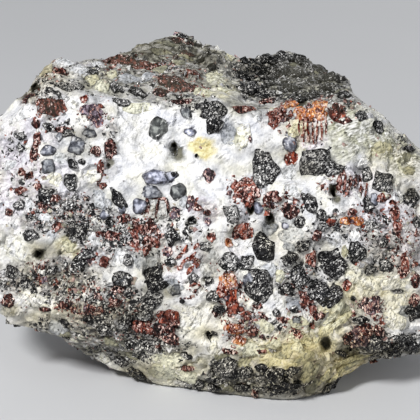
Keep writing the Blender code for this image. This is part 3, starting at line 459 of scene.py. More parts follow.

# Films over all the minerals, as zones: dust greys the weathered top and partly paints its shade, painted
# shade darkens what lies low or turns under and some darker stone, and warmth yellows what is stained and
# paints warm bounced light.
FILMS = {
    # Dust and painted shade: the weathered top greyed, partly for dust and partly for shade where it faces
    # away from the light.
    "dust_and_shade": [
        (130, 61, 26, 9, 0.26), (175, 85, 24, 14, 0.26), (165, 50, 40, 12, 0.36), (200, 58, 26, 14, 0.3),
        (150, 76, 60, 20, 0.12), (308, 78, 42, 22, 0.32), (345, 106, 40, 12, 0.12), (52, 107, 16, 12, 0.2),
    ],
    # Painted shade: darkens what lies low, turns under or faces away from the light, and some patches of
    # darker stone.
    "painted_shade": [
        (262, 392, 70, 22, 0.75), (225, 362, 30, 14, 0.45), (110, 345, 60, 20, 0.24), (15, 270, 30, 9, 0.3),
        (375, 352, 60, 9, 0.5), (138, 373, 26, 14, 0.95), (135, 48, 36, 10, 0.75), (206, 60, 22, 16, 0.55),
        (255, 68, 26, 12, 0.8), (258, 94, 24, 10, 0.4), (335, 84, 24, 14, 0.3), (43, 255, 16, 10, 0.4),
        (150, 268, 16, 26, 0.7), (28, 92, 14, 12, 0.75), (150, 192, 30, 10, 0.2), (268, 152, 30, 9, 0.4),
        (305, 254, 24, 14, 0.3), (250, 232, 40, 10, 0.4), (72, 308, 14, 9, 0.65), (242, 108, 44, 9, 0.45),
        (270, 248, 12, 9, 0.35), (314, 156, 12, 9, 0.35), (115, 312, 36, 12, 0.65),
        (290, 294, 16, 10, 0.35), (248, 376, 16, 18, 0.5), (412, 176, 10, 10, 0.3), (84, 134, 20, 9, 0.7),
        (70, 152, 30, 9, 0.35), (44, 250, 20, 12, 0.95), (158, 210, 18, 10, 0.5), (72, 230, 14, 12, 0.45),
        (75, 90, 18, 8, 0.4), (40, 72, 14, 16, 0.3), (140, 310, 18, 12, 0.65), (120, 270, 40, 9, 0.3),
        (50, 190, 10, 8, 0.35), (285, 152, 14, 10, 0.5), (308, 168, 14, 12, 0.6), (410, 193, 10, 11, 0.85),
        (370, 270, 14, 7, 0.45), (170, 292, 12, 9, 0.95), (10, 310, 12, 9, 0.9), (36, 320, 34, 10, 0.5),
        (208, 332, 12, 9, 0.6), (192, 350, 22, 7, 0.6), (186, 368, 10, 8, 0.35), (272, 392, 20, 8, 0.45),
        (330, 388, 14, 8, 0.75), (394, 349, 14, 8, 0.85), (410, 308, 9, 14, 0.4), (372, 248, 12, 26, 0.45),
        (108, 110, 14, 8, 0.25), (210, 262, 14, 22, 0.6), (24, 180, 18, 16, 0.3), (410, 210, 10, 10, 0.35),
        (250, 330, 13, 12, 0.55), (90, 352, 14, 8, 0.6), (359, 340, 18, 13, 0.65), (148, 298, 30, 24, 0.5),
        (282, 388, 20, 8, 0.4), (412, 222, 9, 22, 0.3), (358, 262, 24, 12, 0.28), (236, 230, 20, 9, 0.28),
        (270, 150, 10, 12, 0.3), (374, 353, 12, 7, 0.6), (230, 110, 60, 9, 0.2),
    ],
    # Warmth: yellow stain, and painted warm light bounced up onto the lower part.
    "warm_stain_and_bounce": [
        (320, 360, 80, 44, 1.0), (190, 366, 100, 40, 0.35), (60, 318, 80, 24, 0.5),
        (390, 300, 50, 40, 0.45), (284, 240, 30, 24, 0.45), (205, 320, 40, 40, 0.3),
        (300, 130, 24, 20, 0.5), (395, 165, 34, 24, 0.45), (230, 300, 60, 30, 0.2), (60, 285, 60, 20, 0.4),
        (400, 255, 26, 26, 0.4), (50, 78, 24, 16, 0.5), (355, 330, 50, 20, 0.6),
    ],
}
FILM_EDGE = (1.35, 0.30)

# The same minerals where the photograph doesn't reach: the least and the most share, and where their
# noise is taken from.
UNSEEN_PATCH = 9.0
UNSEEN_EDGE = (-0.15, 0.55)
UNSEEN = {
    "franklinite": (0.06, 0.62, (3, 1, 7)),
    "zincite": (0.04, 0.55, (11, 5, 2)),
    "willemite": (0.06, 0.70, (7, 13, 4)),
    "grey": (0.12, 0.50, (1, 17, 9)),
    "brown": (0.02, 0.45, (9, 21, 3)),
    "fibre": (0.00, 0.45, (13, 2, 17)),
    "stain": (0.02, 0.35, (19, 2, 6)),
    "dirt_and_shade": (0.05, 0.50, (5, 8, 14)),
    "pink": (0.00, 0.30, (23, 3, 1)),
}

# How the grains of each look stand and break: height over the stone, tilt, the number and the slopes of
# the planes that cut the top, the hackles' size, tilt and height, the least height, and how much the
# edge wavers.
LOOKS = {
    "franklinite": dict(proud=0.55, tilt=0.06, planes=6, slope=(0.25, 0.9), hackle_size=0.7,
                        hackle_tilt=0.8, hackle=0.16, least=0.08, waver=0.36),
    "zincite": dict(proud=0.34, tilt=0.05, planes=5, slope=(0.15, 0.5), hackle_size=0.6,
                    hackle_tilt=0.7, hackle=0.14, least=0.06, waver=0.42),
    "crystal": dict(proud=0.50, tilt=0.16, planes=5, slope=(0.4, 1.1), hackle_size=1.6,
                    hackle_tilt=0.22, hackle=0.05, least=0.06, waver=0.28),
    "leaf": dict(proud=0.42, tilt=0.12, planes=3, slope=(0.5, 1.2), hackle_size=1.3,
                 hackle_tilt=0.35, hackle=0.06, least=0.05, waver=0.24),
    "block": dict(proud=0.20, tilt=0.07, planes=5, slope=(0.10, 0.45), hackle_size=1.5,
                  hackle_tilt=0.35, hackle=0.10, least=0.0, waver=0.34),
}

# Each piece of grains: its name, the grains the photograph shows with their look and seed, its finish
# and slot, and how grains are spread where the photograph doesn't reach: the mineral they follow, their
# look, how many places are tried, the gap between them, their radii and their seed.
GRAIN_PIECES = [
    ("franklinite_grains", [(FRANKLINITE + HUMP, "franklinite", 1)], "franklinite", "franklinite",
     dict(mineral="franklinite", look="franklinite", tries=700, gap=0.2, radii=(0.8, 2.6), seed=11)),
    ("zincite_grains", [(ZINCITE, "zincite", 2), (DARK_ZINCITE, "franklinite", 6)], "zincite", "zincite",
     dict(mineral="zincite", look="zincite", tries=700, gap=0.2, radii=(0.7, 2.2), seed=12)),
    ("grey_crystals", [(CRYSTALS, "crystal", 3)], "crystal", "franklinite",
     dict(mineral="grey", look="crystal", tries=120, gap=0.4, radii=(0.8, 1.5), seed=13)),
    ("calcite_blocks", [(CALCITE, "block", 4)], "calcite", "calcite",
     dict(mineral="grey", look="block", tries=200, gap=0.1, radii=(1.0, 3.0), seed=14)),
    ("willemite_grains", [(WILLEMITE, "block", 5), (LEAVES, "leaf", 7)], "willemite", "willemite",
     dict(mineral="willemite", look="block", tries=200, gap=0.1, radii=(0.8, 2.4), seed=15)),
]

# Each piece of specks: its name, finish, slot, how many, their radii, their highest tone and the seed.
SPECK_PIECES = [
    ("franklinite_specks", "franklinite", "franklinite", 5000, ORE_SPECK_RADII, 1.0, 8),
    ("zincite_specks", "zincite", "zincite", 3000, ORE_SPECK_RADII, 0.5, 9),
    ("pale_specks", "pale", "calcite", 6500, PALE_SPECK_RADII, 1.0, 10),
]

# Colours as ramps: place on the ramp, then red, green and blue.
DARK = [(0.0, (0.001, 0.001, 0.001)), (0.55, (0.005, 0.005, 0.006)), (1.0, (0.034, 0.035, 0.038))]
SLATE = [(0.0, (0.020, 0.021, 0.023)), (0.55, (0.060, 0.062, 0.066)), (1.0, (0.15, 0.153, 0.16))]
# Painted glints: pale colours that stand for light caught by tiny facets.
PAINTED_GLINT = [(0.0, (0.11, 0.107, 0.105)), (0.5, (0.38, 0.375, 0.37)), (1.0, (0.94, 0.93, 0.92))]
PAINTED_RED_GLINT = [(0.0, (0.20, 0.060, 0.050)), (0.5, (0.50, 0.31, 0.28)), (1.0, (0.94, 0.76, 0.70))]
PURPLE = [(0.38, (0.022, 0.013, 0.018)), (0.50, (0.105, 0.070, 0.095)), (0.62, (0.34, 0.28, 0.34))]
MAROON = [(0.38, (0.004, 0.001, 0.001)), (0.50, (0.022, 0.006, 0.005)), (0.62, (0.110, 0.036, 0.030))]
RED = [(0.38, (0.008, 0.002, 0.001)), (0.50, (0.070, 0.016, 0.011)), (0.62, (0.33, 0.110, 0.080))]
VIVID_RED = [(0.38, (0.020, 0.003, 0.002)), (0.50, (0.170, 0.024, 0.012)), (0.62, (0.46, 0.115, 0.060))]
ORANGE = [(0.38, (0.16, 0.028, 0.010)), (0.48, (0.50, 0.150, 0.040)), (0.57, (0.76, 0.36, 0.13)),
          (0.66, (0.92, 0.72, 0.50))]
WHITE = [(0.36, (0.70, 0.71, 0.75)), (0.48, (0.87, 0.87, 0.875)), (0.64, (0.84, 0.83, 0.76))]
GREY = [(0.38, (0.14, 0.15, 0.17)), (0.50, (0.31, 0.33, 0.36)), (0.62, (0.54, 0.56, 0.60))]
PINK = [(0.38, (0.32, 0.26, 0.34)), (0.50, (0.66, 0.60, 0.71)), (0.62, (0.90, 0.86, 0.95))]
BROWN = [(0.38, (0.016, 0.010, 0.008)), (0.47, (0.100, 0.075, 0.060)), (0.56, (0.28, 0.230, 0.185)),
         (0.64, (0.62, 0.57, 0.50))]
FIBRE = [(0.30, (0.060, 0.060, 0.045)), (0.42, (0.31, 0.31, 0.265)), (0.52, (0.62, 0.62, 0.585)),
         (0.64, (0.90, 0.90, 0.88))]
OLIVE_CAST = [(0.40, (0.62, 0.62, 0.44)), (0.54, (1.0, 1.0, 1.0))]
BUFF = [(0.36, (0.10, 0.10, 0.055)), (0.45, (0.28, 0.27, 0.16)), (0.54, (0.54, 0.52, 0.36)),
        (0.64, (0.80, 0.78, 0.63))]
# Dark streaky colour, for dirt and for painted shade.
WEATHERED_AND_SHADED = [(0.38, (0.010, 0.009, 0.007)), (0.46, (0.068, 0.063, 0.052)), (0.54, (0.20, 0.195, 0.160)),
             (0.63, (0.52, 0.515, 0.44))]
GROUND = [(0.40, (0.030, 0.026, 0.027)), (0.50, (0.24, 0.225, 0.23)), (0.60, (0.72, 0.70, 0.71))]
YELLOW = [(0.38, (0.60, 0.50, 0.22)), (0.62, (0.82, 0.77, 0.48))]
CALCITE_TONES = [(0.0, (0.20, 0.215, 0.25)), (0.25, (0.56, 0.58, 0.61)), (0.5, (0.86, 0.86, 0.87)),
                 (0.75, (0.82, 0.80, 0.67)), (1.0, (0.46, 0.43, 0.32))]
WILLEMITE_TONES = [(0.0, (0.07, 0.068, 0.052)), (0.35, (0.25, 0.25, 0.19)), (0.65, (0.55, 0.52, 0.34)),
                   (1.0, (0.75, 0.75, 0.62))]
PALE_TONES = [(0.0, (0.12, 0.11, 0.09)), (0.2, (0.34, 0.34, 0.36)), (0.42, (0.74, 0.74, 0.76)),
              (0.64, (0.84, 0.84, 0.82)), (0.8, (0.46, 0.45, 0.34)), (1.0, (0.40, 0.25, 0.24))]
GREEN_CRYSTAL = [(0.38, (0.020, 0.023, 0.020)), (0.50, (0.090, 0.097, 0.090)), (0.62, (0.31, 0.33, 0.30))]
LAVENDER_CRYSTAL = [(0.40, (0.10, 0.105, 0.15)), (0.50, (0.30, 0.32, 0.43)), (0.60, (0.68, 0.70, 0.84))]
REDS = [(0.16, 0.46, RED), (0.48, 0.66, VIVID_RED), (0.72, 0.95, ORANGE)]
MATRIX_FIBRES = [(0.34, (0.62, 0.63, 0.66)), (0.54, (1, 1, 1))]
PALE_FIBRES = [(0.38, (0.26, 0.26, 0.25)), (0.52, (1, 1, 1))]
# Painted shade in the low spots of the relief.
PAINTED_SHADE_IN_LOW_RELIEF = [(0.15, (0.62, 0.62, 0.60)), (0.50, (1, 1, 1))]
# Painted light and shade: brightness that changes from one broad facet to the next.
PAINTED_FACET_LIGHT_AND_SHADE = [(0.0, (0.45, 0.45, 0.45)), (1.0, (1.25, 1.25, 1.25))]
# Painted shade along the edges of grains.
BLACK_RIM_PAINTED_SHADE = [(0.70, (1, 1, 1)), (0.98, (0.25, 0.25, 0.25))]
PALE_RIM_PAINTED_SHADE = [(0.80, (1, 1, 1)), (1.0, (0.80, 0.80, 0.78))]
CRYSTAL_RIM_PAINTED_SHADE = [(0.62, (1, 1, 1)), (1.05, (0.16, 0.15, 0.16))]
# Olive grey, for dust and for painted shade on the top.
DUST_AND_SHADE = (0.150, 0.145, 0.112, 1)
# Painted shade: a warm dark multiplier.
PAINTED_SHADE = (0.42, 0.395, 0.31, 1)
# A yellow tint, for stains and for painted warm bounce light.
WARM_STAIN_AND_BOUNCE = (1.0, 0.93, 0.74, 1)
# Painted shade inside the hollows: grey towards their rims, dark in their depths.
HOLLOW_PAINTED_HALF_SHADE = (0.17, 0.165, 0.125, 1)
HOLLOW_PAINTED_SHADE = (0.026, 0.023, 0.016, 1)

# What lies over the white calcite, in order: the share's name, how far the share is raised, the size
# of its patches, where their noise begins and is full, and the colours in them.
LAYERS = [
    ("pink", 1.0, 0.8, (0.36, 0.54), PINK), ("grey", 1.2, 1.8, (0.36, 0.54), GREY),
    ("willemite", 1.4, 1.5, (0.36, 0.54), BUFF), ("stain", 1.3, 1.2, (0.26, 0.42), YELLOW),
    ("ore", 1.1, 0.7, (0.36, 0.54), GROUND), ("brown", 1.4, 1.0, (0.38, 0.52), BROWN),
]


# ---- Places in the photograph, and noise ----
def seen_direction(across, down):
    """The way from the eye through a pixel of the photograph."""
    sideways = RIGHT * ((across - IMAGE / 2) / FOCAL)
    upwards = UP * ((IMAGE / 2 - down) / FOCAL)
    return (FORWARD + sideways + upwards).normalized()


def pixels_of(places):
    """Where the photograph's camera sees points: pixels across and pixels down."""
    offset = places - np.array(EYE)
    depth = offset @ np.array(FORWARD)
    across = IMAGE / 2 + FOCAL * (offset @ np.array(RIGHT)) / depth
    down = IMAGE / 2 - FOCAL * (offset @ np.array(UP)) / depth
    return across, down


def towards_eye(places, normals):
    """How far the stone's surface faces the eye: 1 straight at it, 0 edge on, -1 away from it."""
    to_eye = np.array(EYE) - places
    to_eye /= np.linalg.norm(to_eye, axis=1)[:, None]
    return (normals * to_eye).sum(axis=1)


def blend_in(value, start, end):
    """0 at start, 1 at end, smooth between them."""
    share = np.clip((value - start) / (end - start), 0, 1)
    return share * share * (3 - 2 * share)


def from_middle(across, down, middle_across, middle_down, half_width, half_height):
    """How far pixels lie from an ellipse's middle: 1 is on its edge."""
    return np.hypot((across - middle_across) / half_width, (down - middle_down) / half_height)


def zone_share(across, down, zones, edge):
    """The highest share that the zones give at each pixel."""
    shown = np.zeros(len(across))
    for *ellipse, share in zones:
        shown = np.maximum(shown, share * blend_in(from_middle(across, down, *ellipse), *edge))
    return shown


def hashed(ids, seed):
    """Three even random numbers for each row of three whole numbers."""
    return np.modf(np.abs(np.sin(ids @ HASH_ROWS.T + seed) * HASH_SCALE))[0]


def cells(points, size, seed):
    """Voronoi cells: each point's cell, as three random numbers, and its offset from the cell's centre."""
    base = np.floor(points / size)
    best = np.full(len(points), np.inf)
    chosen = np.zeros_like(points)
    offsets = np.zeros_like(points)
    for shift in itertools.product((-1, 0, 1), repeat=3):
        ids = base + shift
        offset = points - (ids + hashed(ids, seed)) * size
        distance = (offset ** 2).sum(axis=1)
        closer = distance < best
        best[closer] = distance[closer]
        chosen[closer] = ids[closer]
        offsets[closer] = offset[closer]
    return hashed(chosen, seed + CELL_SEED), offsets


def waves(points, size, place=Vector((0, 0, 0)), octaves=3):
    """Smooth noise in layers, about -1 to 1, at each point."""
    return np.array([noise.fractal(Vector(p) / size + place, *WAVE_LAYERS, octaves) for p in points])


# ---- Mesh making ----
def arrays(mesh):
    """A mesh's vertices, in millimetres, and the ways out of it there."""
    places = np.empty(len(mesh.vertices) * 3, np.float32)
    mesh.vertices.foreach_get("co", places)
    normals = np.empty(len(mesh.vertices) * 3, np.float32)
    mesh.vertex_normals.foreach_get("vector", normals)
    return places.reshape(-1, 3).astype(float) / MM, normals.reshape(-1, 3).astype(float)


def put(mesh, places):
    """Moves a mesh's vertices to places given in millimetres."""
    mesh.vertices.foreach_set("co", (places * MM).astype(np.float32).ravel())
    mesh.update()


def linked(name, data):
    """A new object of the scene."""
    made = bpy.data.objects.new(name, data)
    bpy.context.scene.collection.objects.link(made)
    return made


def set_values(mesh, places, values):
    """Numbers for each vertex, for the materials to read: the values given, and the films' shares."""
    films = {name: zone_share(*pixels_of(places), zones, FILM_EDGE) for name, zones in FILMS.items()}
    for name, numbers in (values | films).items():
        attribute = mesh.attributes.new(name, "FLOAT", "POINT")
        attribute.data.foreach_set("value", np.asarray(numbers, np.float32))


def declare(piece, material, slot):
    """Every piece rides with the stone, stands for its node and takes the finish it is given; the slot is not
    used.
    """
    piece.data.materials.append(material)
    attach(piece, BODY)
    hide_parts(NODE)


def as_piece(name, vertices, faces, values, material, slot):
    """A finished piece of the stone, from vertices in millimetres."""
    mesh = bpy.data.meshes.new(name)
    vertices[:, 2] = np.maximum(vertices[:, 2], 0)
    mesh.from_pydata((vertices * MM).tolist(), [], faces)
    mesh.update()
    set_values(mesh, vertices, values)
    declare(linked(name, mesh), material, slot)


# ---- The matrix ----
def remeshed(node):
    """The CAD stone as an even, fine mesh."""
    bm = bmesh.new()
    bm.from_mesh(node.data)
    bmesh.ops.remove_doubles(bm, verts=bm.verts, dist=WELD * MM)
    mesh = bpy.data.meshes.new(MATRIX)
    bm.to_mesh(mesh)
    bm.free()
    stone = linked(MATRIX, mesh)
    remesh = stone.modifiers.new("even", "REMESH")
    remesh.mode = "VOXEL"
    remesh.voxel_size = SKIN_VOXEL * MM
    evaluated = stone.evaluated_get(bpy.context.evaluated_depsgraph_get())
    mesh = bpy.data.meshes.new_from_object(evaluated)
    stone.modifiers.clear()
    stone.data = mesh
    stone.data.materials.clear()
    return stone


def soften(mesh):
    """Rounds off the CAD solid's flat triangles a little."""
    places, _ = arrays(mesh)
    edges = np.empty(len(mesh.edges) * 2, np.int32)
    mesh.edges.foreach_get("vertices", edges)
    first, second = edges.reshape(-1, 2).T
    count = np.bincount(edges, minlength=len(places))[:, None]
    for _ in range(SOFTEN_ROUNDS):
        total = np.zeros_like(places)
        np.add.at(total, first, places[second])
        np.add.at(total, second, places[first])
        places += (total / count - places) * SOFTEN_SHARE
    put(mesh, places)


def swell_out(mesh):
    """Brings the stone's outline closer to the photograph's, by a millimetre or so."""
    places, _ = arrays(mesh)
    across, down = pixels_of(places)
    for *ellipse, rise in SWELLS:
        share = blend_in(from_middle(across, down, *ellipse), *SWELL_EDGE)
        places += (share * rise)[:, None] * np.array(UP)
    put(mesh, places)


def break_up(mesh, speckled, fibrous):
    """Cleavage facets with steps on them, and a rough grain where the fine minerals lie.

    Returns how high each vertex stands in that relief, from 0 to 1.
    """
    places, normals = arrays(mesh)
    warp = [waves(places, FACET_WARP_SIZE, place) for place in FACET_WARP_PLACES]
    dice, offsets = cells(places + FACET_WARP * np.stack(warp, axis=1), FACET_SIZE, FACET_SEED)
    tilt = (dice - 0.5) * FACET_TILT
    facets = (tilt * offsets).sum(axis=1) + (dice[:, 0] - 0.5) * FACET_STEP
    along = (offsets * (dice[:, [1, 2, 0]] - 0.5)).sum(axis=1) * 2 / STEP_SPACING
    steps = (along - np.floor(along) - 0.5) * STEP_HEIGHT
    rough = waves(places, ROUGH_SIZE, octaves=2) * ROUGH_HEIGHT * (ROUGH_LEAST + ROUGH_ON_ORE * speckled)
    wave = waves(places, WAVE_SIZE, octaves=2) * WAVE_HEIGHT * (1 - FIBRE_FLATNESS * fibrous)
    height = np.clip(facets + wave + steps * (1 - speckled) + rough, -RELIEF_LIMIT, RELIEF_LIMIT)
    fade = np.clip(places[:, 2] / GROUND_FADE, 0, 1) * full_where_faced(towards_eye(places, normals))
    places += (height * fade)[:, None] * normals
    places[:, 2] = np.maximum(places[:, 2], 0)
    put(mesh, places)
    return 0.5 + 0.5 * height / RELIEF_LIMIT


def full_where_faced(facing):
    """1 where the surface faces the eye or looks away from it, and less where it is edge on."""
    return EDGE_RELIEF + (1 - EDGE_RELIEF) * blend_in(np.abs(facing), *EDGE_ON)


def zone_values(places, normals):
    """The share of each mineral at each point: from the photograph's zones where it sees, and
    from noise elsewhere."""
    across, down = pixels_of(places)
    across = across + waves(places, ZONE_WARP_SIZE, ZONE_WARP_PLACES[0]) * ZONE_WARP_PIXELS
    down = down + waves(places, ZONE_WARP_SIZE, ZONE_WARP_PLACES[1]) * ZONE_WARP_PIXELS
    facing = blend_in(towards_eye(places, normals), *ZONE_FACING)
    framed = blend_in(np.minimum(across, IMAGE - across), *ZONE_FRAME)
    seen = facing * framed
    values = {}
    for mineral, zones in SPECKLE.items():
        shown = zone_share(across, down, zones, ZONE_EDGE)
        least, most, place = UNSEEN[mineral]
        patches = blend_in(waves(places, UNSEEN_PATCH, Vector(place)), *UNSEEN_EDGE)
        values[mineral] = seen * shown + (1 - seen) * (least + (most - least) * patches)
    return values


def hollow_out(mesh):
    """Presses the hollows in. Returns how much painted shade each vertex gets inside them, from 0 to 1."""
    places, normals = arrays(mesh)
    across, down = pixels_of(places)
    facing = normals @ -np.array(FORWARD) > HOLLOW_FACING
    uneven = waves(places, HOLLOW_WAVE, octaves=2) * HOLLOW_UNEVEN
    inside = np.zeros(len(places))
    for *ellipse, depth, dark in HOLLOWS:
        share = blend_in(from_middle(across, down, *ellipse) + uneven, *HOLLOW_EDGE) * facing
        places += (share * depth)[:, None] * np.array(FORWARD)
        inside = np.maximum(inside, share * dark)
    put(mesh, places)
    return inside


def matrix_piece(node):
    """The calcite matrix. Returns it with the mineral shares of its vertices."""
    stone = remeshed(node)
    soften(stone.data)
    swell_out(stone.data)
    values = zone_values(*arrays(stone.data))
    values["ore"] = np.clip(values["franklinite"] + values["zincite"], 0, 1)
    values["relief"] = break_up(stone.data, values["ore"], values["fibre"])
    values["hollow_painted_shade"] = hollow_out(stone.data)
    for mineral in ("franklinite", "zincite"):
        values[mineral] = values[mineral] * (1 - values["hollow_painted_shade"])
    places, _ = arrays(stone.data)
    set_values(stone.data, places, values)
    declare(stone, matrix_material(), "calcite")
    return stone, values


# ---- Grains ----
class Skin:
    """The matrix's surface, for setting grains into it."""

    def __init__(self, stone, values):
        places, normals = arrays(stone.data)
        polygons = [tuple(p.vertices) for p in stone.data.polygons]
        self.tree = BVHTree.FromPolygons(places.tolist(), polygons)
        corners = np.array([polygon[0] for polygon in polygons])
        self.face_places = places[corners]
        self.face_normals = normals[corners]
        self.shares = {mineral: shares[corners] for mineral, shares in values.items()}
        self.facing = towards_eye(self.face_places, self.face_normals)

    def seat(self, across, down, reach):
        """Where a pixel's ray meets the stone, with the mean way out of it within the reach."""
        hits = []
        for ring, count in SEAT_RINGS:
            for step in range(count):
                angle = 2 * math.pi * step / count
                beside = across + reach * ring * math.cos(angle)
                below = down + reach * ring * math.sin(angle)
                point, normal, _, _ = self.tree.ray_cast(EYE, seen_direction(beside, below))
                if point is not None:
                    hits.append((point, normal))
        if not hits:
            return None
        first = hits[0][0]
        limit = SEAT_NEAR * reach / PIXELS_PER_MM
        near = [normal for point, normal in hits if (point - first).length < limit]
        return first, sum(near, Vector()).normalized()


def outline(angles, waver, rng):
    """A grain's outline: a polygon with blunt corners that wavers, as a distance for each angle."""
    wedge = 2 * math.pi / int(rng.integers(*CORNERS))
    turned = np.mod(angles + rng.uniform(0, wedge), wedge) - wedge / 2
    polygon = math.cos(wedge / 2) / np.cos(turned) * CORNER_GROWTH
    wavering = np.zeros(len(angles))
    for count in WAVER_COUNTS:
        amount = rng.uniform(-1, 1)
        wavering += amount * np.cos(count * angles + rng.uniform(0, WAVER_PHASES)) * waver / count
    return (ROUND_SHARE + POLYGON_SHARE * polygon) * (1 + wavering)


def ground_under(skin, flat, normal):
    """How high the stone lies over each point of a flat grid, or nan where it isn't near."""
    heights = np.full(len(flat), np.nan)
    for i, start in enumerate(flat + np.array(normal) * CAST_FROM):
        hit, _, _, distance = skin.tree.ray_cast(Vector(start), -normal)
        if hit is not None and abs(CAST_FROM - distance) < REACH:
            heights[i] = CAST_FROM - distance
    return heights


def sheet_through(terms, ground, known):
    """A smooth curved sheet through the known heights."""
    sheet = terms @ np.linalg.lstsq(terms[known], ground[known], rcond=None)[0]
    return np.clip(sheet, ground[known].min() - SHEET_MARGIN, ground[known].max() + SHEET_MARGIN)


def broken_top(u, v, flat, mean, look, rng):
    """How far a grain's top stands out: a tilted plane, cut by others and covered with hackles."""
    proud = look["proud"] * rng.uniform(*PROUD_SPREAD)
    lift = proud + (u * rng.normal(0, look["tilt"]) + v * rng.normal(0, look["tilt"]))
    for _ in range(look["planes"]):
        way = rng.uniform(0, 2 * math.pi)
        slope = rng.uniform(*look["slope"])
        reach = mean * rng.uniform(*PLANE_REACH)
        plane = look["proud"] + (reach - (u * math.cos(way) + v * math.sin(way))) * slope
        lift = np.minimum(lift, plane)
    dice, offsets = cells(flat, look["hackle_size"], HACKLE_SEED)
    lift += ((dice - 0.5) * offsets).sum(axis=1) * look["hackle_tilt"] + (dice[:, 0] - 0.5) * look["hackle"]
    return lift


def slab(skin, point, normal, axis, half_width, half_height, look, rng):
    """A grain set into the stone: a closed mesh whose top is broken into planes.

    Its outline lies round the point, square to the normal, and its sides run down into the stone.
    """
    side = (axis - normal * axis.dot(normal)).normalized()
    upward = normal.cross(side)
    mean = math.sqrt(half_width * half_height)
    rings = max(LEAST_RINGS, round(mean / RING_STEP))
    segments = max(LEAST_SEGMENTS, round(2 * math.pi * mean / SEGMENT_STEP))
    angles = np.arange(segments) * 2 * math.pi / segments
    edge = outline(angles, look["waver"], rng)
    radial = (np.arange(1, rings + 1) / rings) ** RING_CROWDING
    u = np.concatenate([[0], np.outer(radial, half_width * edge * np.cos(angles)).ravel()])
    v = np.concatenate([[0], np.outer(radial, half_height * edge * np.sin(angles)).ravel()])
    centre, side, upward, out = (np.array(way) for way in (point, side, upward, normal))
    flat = centre + u[:, None] * side + v[:, None] * upward
    ground = ground_under(skin, flat, normal)
    known = ~np.isnan(ground)
    terms = np.stack([np.ones_like(u), u, v, u * u, u * v, v * v], axis=1)
    if known.sum() < terms.shape[1]:
        return None
    sheet = sheet_through(terms, ground, known)
    ground[~known] = sheet[~known]
    lift = broken_top(u, v, flat, mean, look, rng)
    top = np.maximum(np.maximum(sheet, ground - DIP) + lift, ground + look["least"])
    tops = flat + top[:, None] * out
    rim = slice(1 + (rings - 1) * segments, None)
    skirt = flat[rim] + (np.minimum(ground[rim], top[rim]) - SUNK)[:, None] * out
    bottom = centre + (ground[0] - SUNK) * out
    vertices = np.vstack([tops, skirt, bottom[None]])
    rim_share = np.concatenate([[0], np.repeat(radial, segments), np.ones(segments + 1)])
    return vertices, slab_faces(rings, segments), rim_share


def slab_faces(rings, segments):
    """Triangles and quads of a slab: a fan, rings, a wall and a fan underneath."""
    faces = []
    last = 1 + (rings + 1) * segments
    for i in range(segments):
        j = (i + 1) % segments
        faces.append((0, 1 + i, 1 + j))
        for ring in range(rings):
            near = 1 + ring * segments
            far = near + segments
            faces.append((near + i, far + i, far + j, near + j))
        faces.append((last, 1 + rings * segments + j, 1 + rings * segments + i))
    return faces


class Grains:
    """Many grains of one mineral, gathered into one mesh."""

    def __init__(self):
        self.vertices = []
        self.faces = []
        self.tones = []
        self.rims = []
        self.count = 0

    def add(self, made, tone):
        """Takes in a slab with its tone."""
        vertices, faces, rim = made
        self.vertices.append(vertices)
        self.faces.extend(tuple(i + self.count for i in face) for face in faces)
        self.tones.append(np.full(len(vertices), tone))
        self.rims.append(rim)
        self.count += len(vertices)

    def piece(self, name, material, slot):
        """All the grains as one piece."""
        values = {"tone": np.concatenate(self.tones), "rim": np.concatenate(self.rims)}
        as_piece(name, np.vstack(self.vertices), self.faces, values, material, slot)


def photographed(skin, grains, rows, look, seed):
    """Sets grains where the photograph shows them."""
    rng = np.random.default_rng(seed)
    for across, down, half_width, half_height, turn, tone in rows:
        seat = skin.seat(across, down, min(half_width, half_height))
        if seat is None:
            continue
        point, normal = seat
        scale = (point - EYE).dot(FORWARD) / FOCAL
        turned = Quaternion(-FORWARD, math.radians(-turn))
        wide = turned @ RIGHT
        tall = turned @ UP
        narrowing = max(LEAST_NARROWING, math.sqrt(1 - wide.dot(normal) ** 2))
        lowering = max(LEAST_NARROWING, math.sqrt(1 - tall.dot(normal) ** 2))
        made = slab(skin, point, normal, wide, half_width * scale / narrowing,
                    half_height * scale / lowering, look, rng)
        if made is not None:
            grains.add(made, tone)


class Unseen:
    """The part of the stone the photograph doesn't show."""

    def __init__(self, skin):
        across, _ = pixels_of(skin.face_places)
        outside = (across < -FRAME_MARGIN) | (across > IMAGE + FRAME_MARGIN)
        self.hidden = (skin.facing < LEAST_FACING) | outside
        shown = np.flatnonzero(~self.hidden)
        self.shown = KDTree(len(shown))
        for index in shown:
            self.shown.insert(skin.face_places[index], int(index))
        self.shown.balance()

    def clear(self, place, radius):
        """Whether a grain here stays out of the part that the photograph shows."""
        return self.shown.find(place)[2] > radius


def scattered(skin, weights, spread, taken, rng):
    """Seeded places over the stone, more where the weights are higher, clear of each other."""
    chances = weights / weights.sum()
    for index in rng.choice(len(chances), size=spread["tries"], p=chances):
        place = skin.face_places[index]
        radius = rng.uniform(*spread["radii"])
        if place[2] < radius + FLOOR_GAP:
            continue
        gaps = [np.linalg.norm(place - other) - near for other, near in taken]
        if gaps and min(gaps) < spread["gap"] + radius:
            continue
        taken.append((place, radius))
        yield Vector(place), Vector(skin.face_normals[index]), radius


def spread_grains(skin, unseen, grains, look, spread, taken):
    """Grains over the sides and the back."""
    rng = np.random.default_rng(spread["seed"])
    weights = unseen.hidden * (EVEN_WEIGHT + skin.shares[spread["mineral"]]) + LEAST_WEIGHT
    for point, normal, radius in scattered(skin, weights, spread, taken, rng):
        if not unseen.clear(point, CLEAR_OF_SHOWN * radius):
            continue
        axis = Quaternion(normal, rng.uniform(0, 2 * math.pi)) @ normal.orthogonal()
        half_width = radius * rng.uniform(*SPREAD_SHAPE)
        half_height = radius * rng.uniform(*SPREAD_SHAPE)
        made = slab(skin, point, normal, axis, half_width, half_height, look, rng)
        if made is not None:
            grains.add(made, rng.uniform(*SPREAD_TONES))


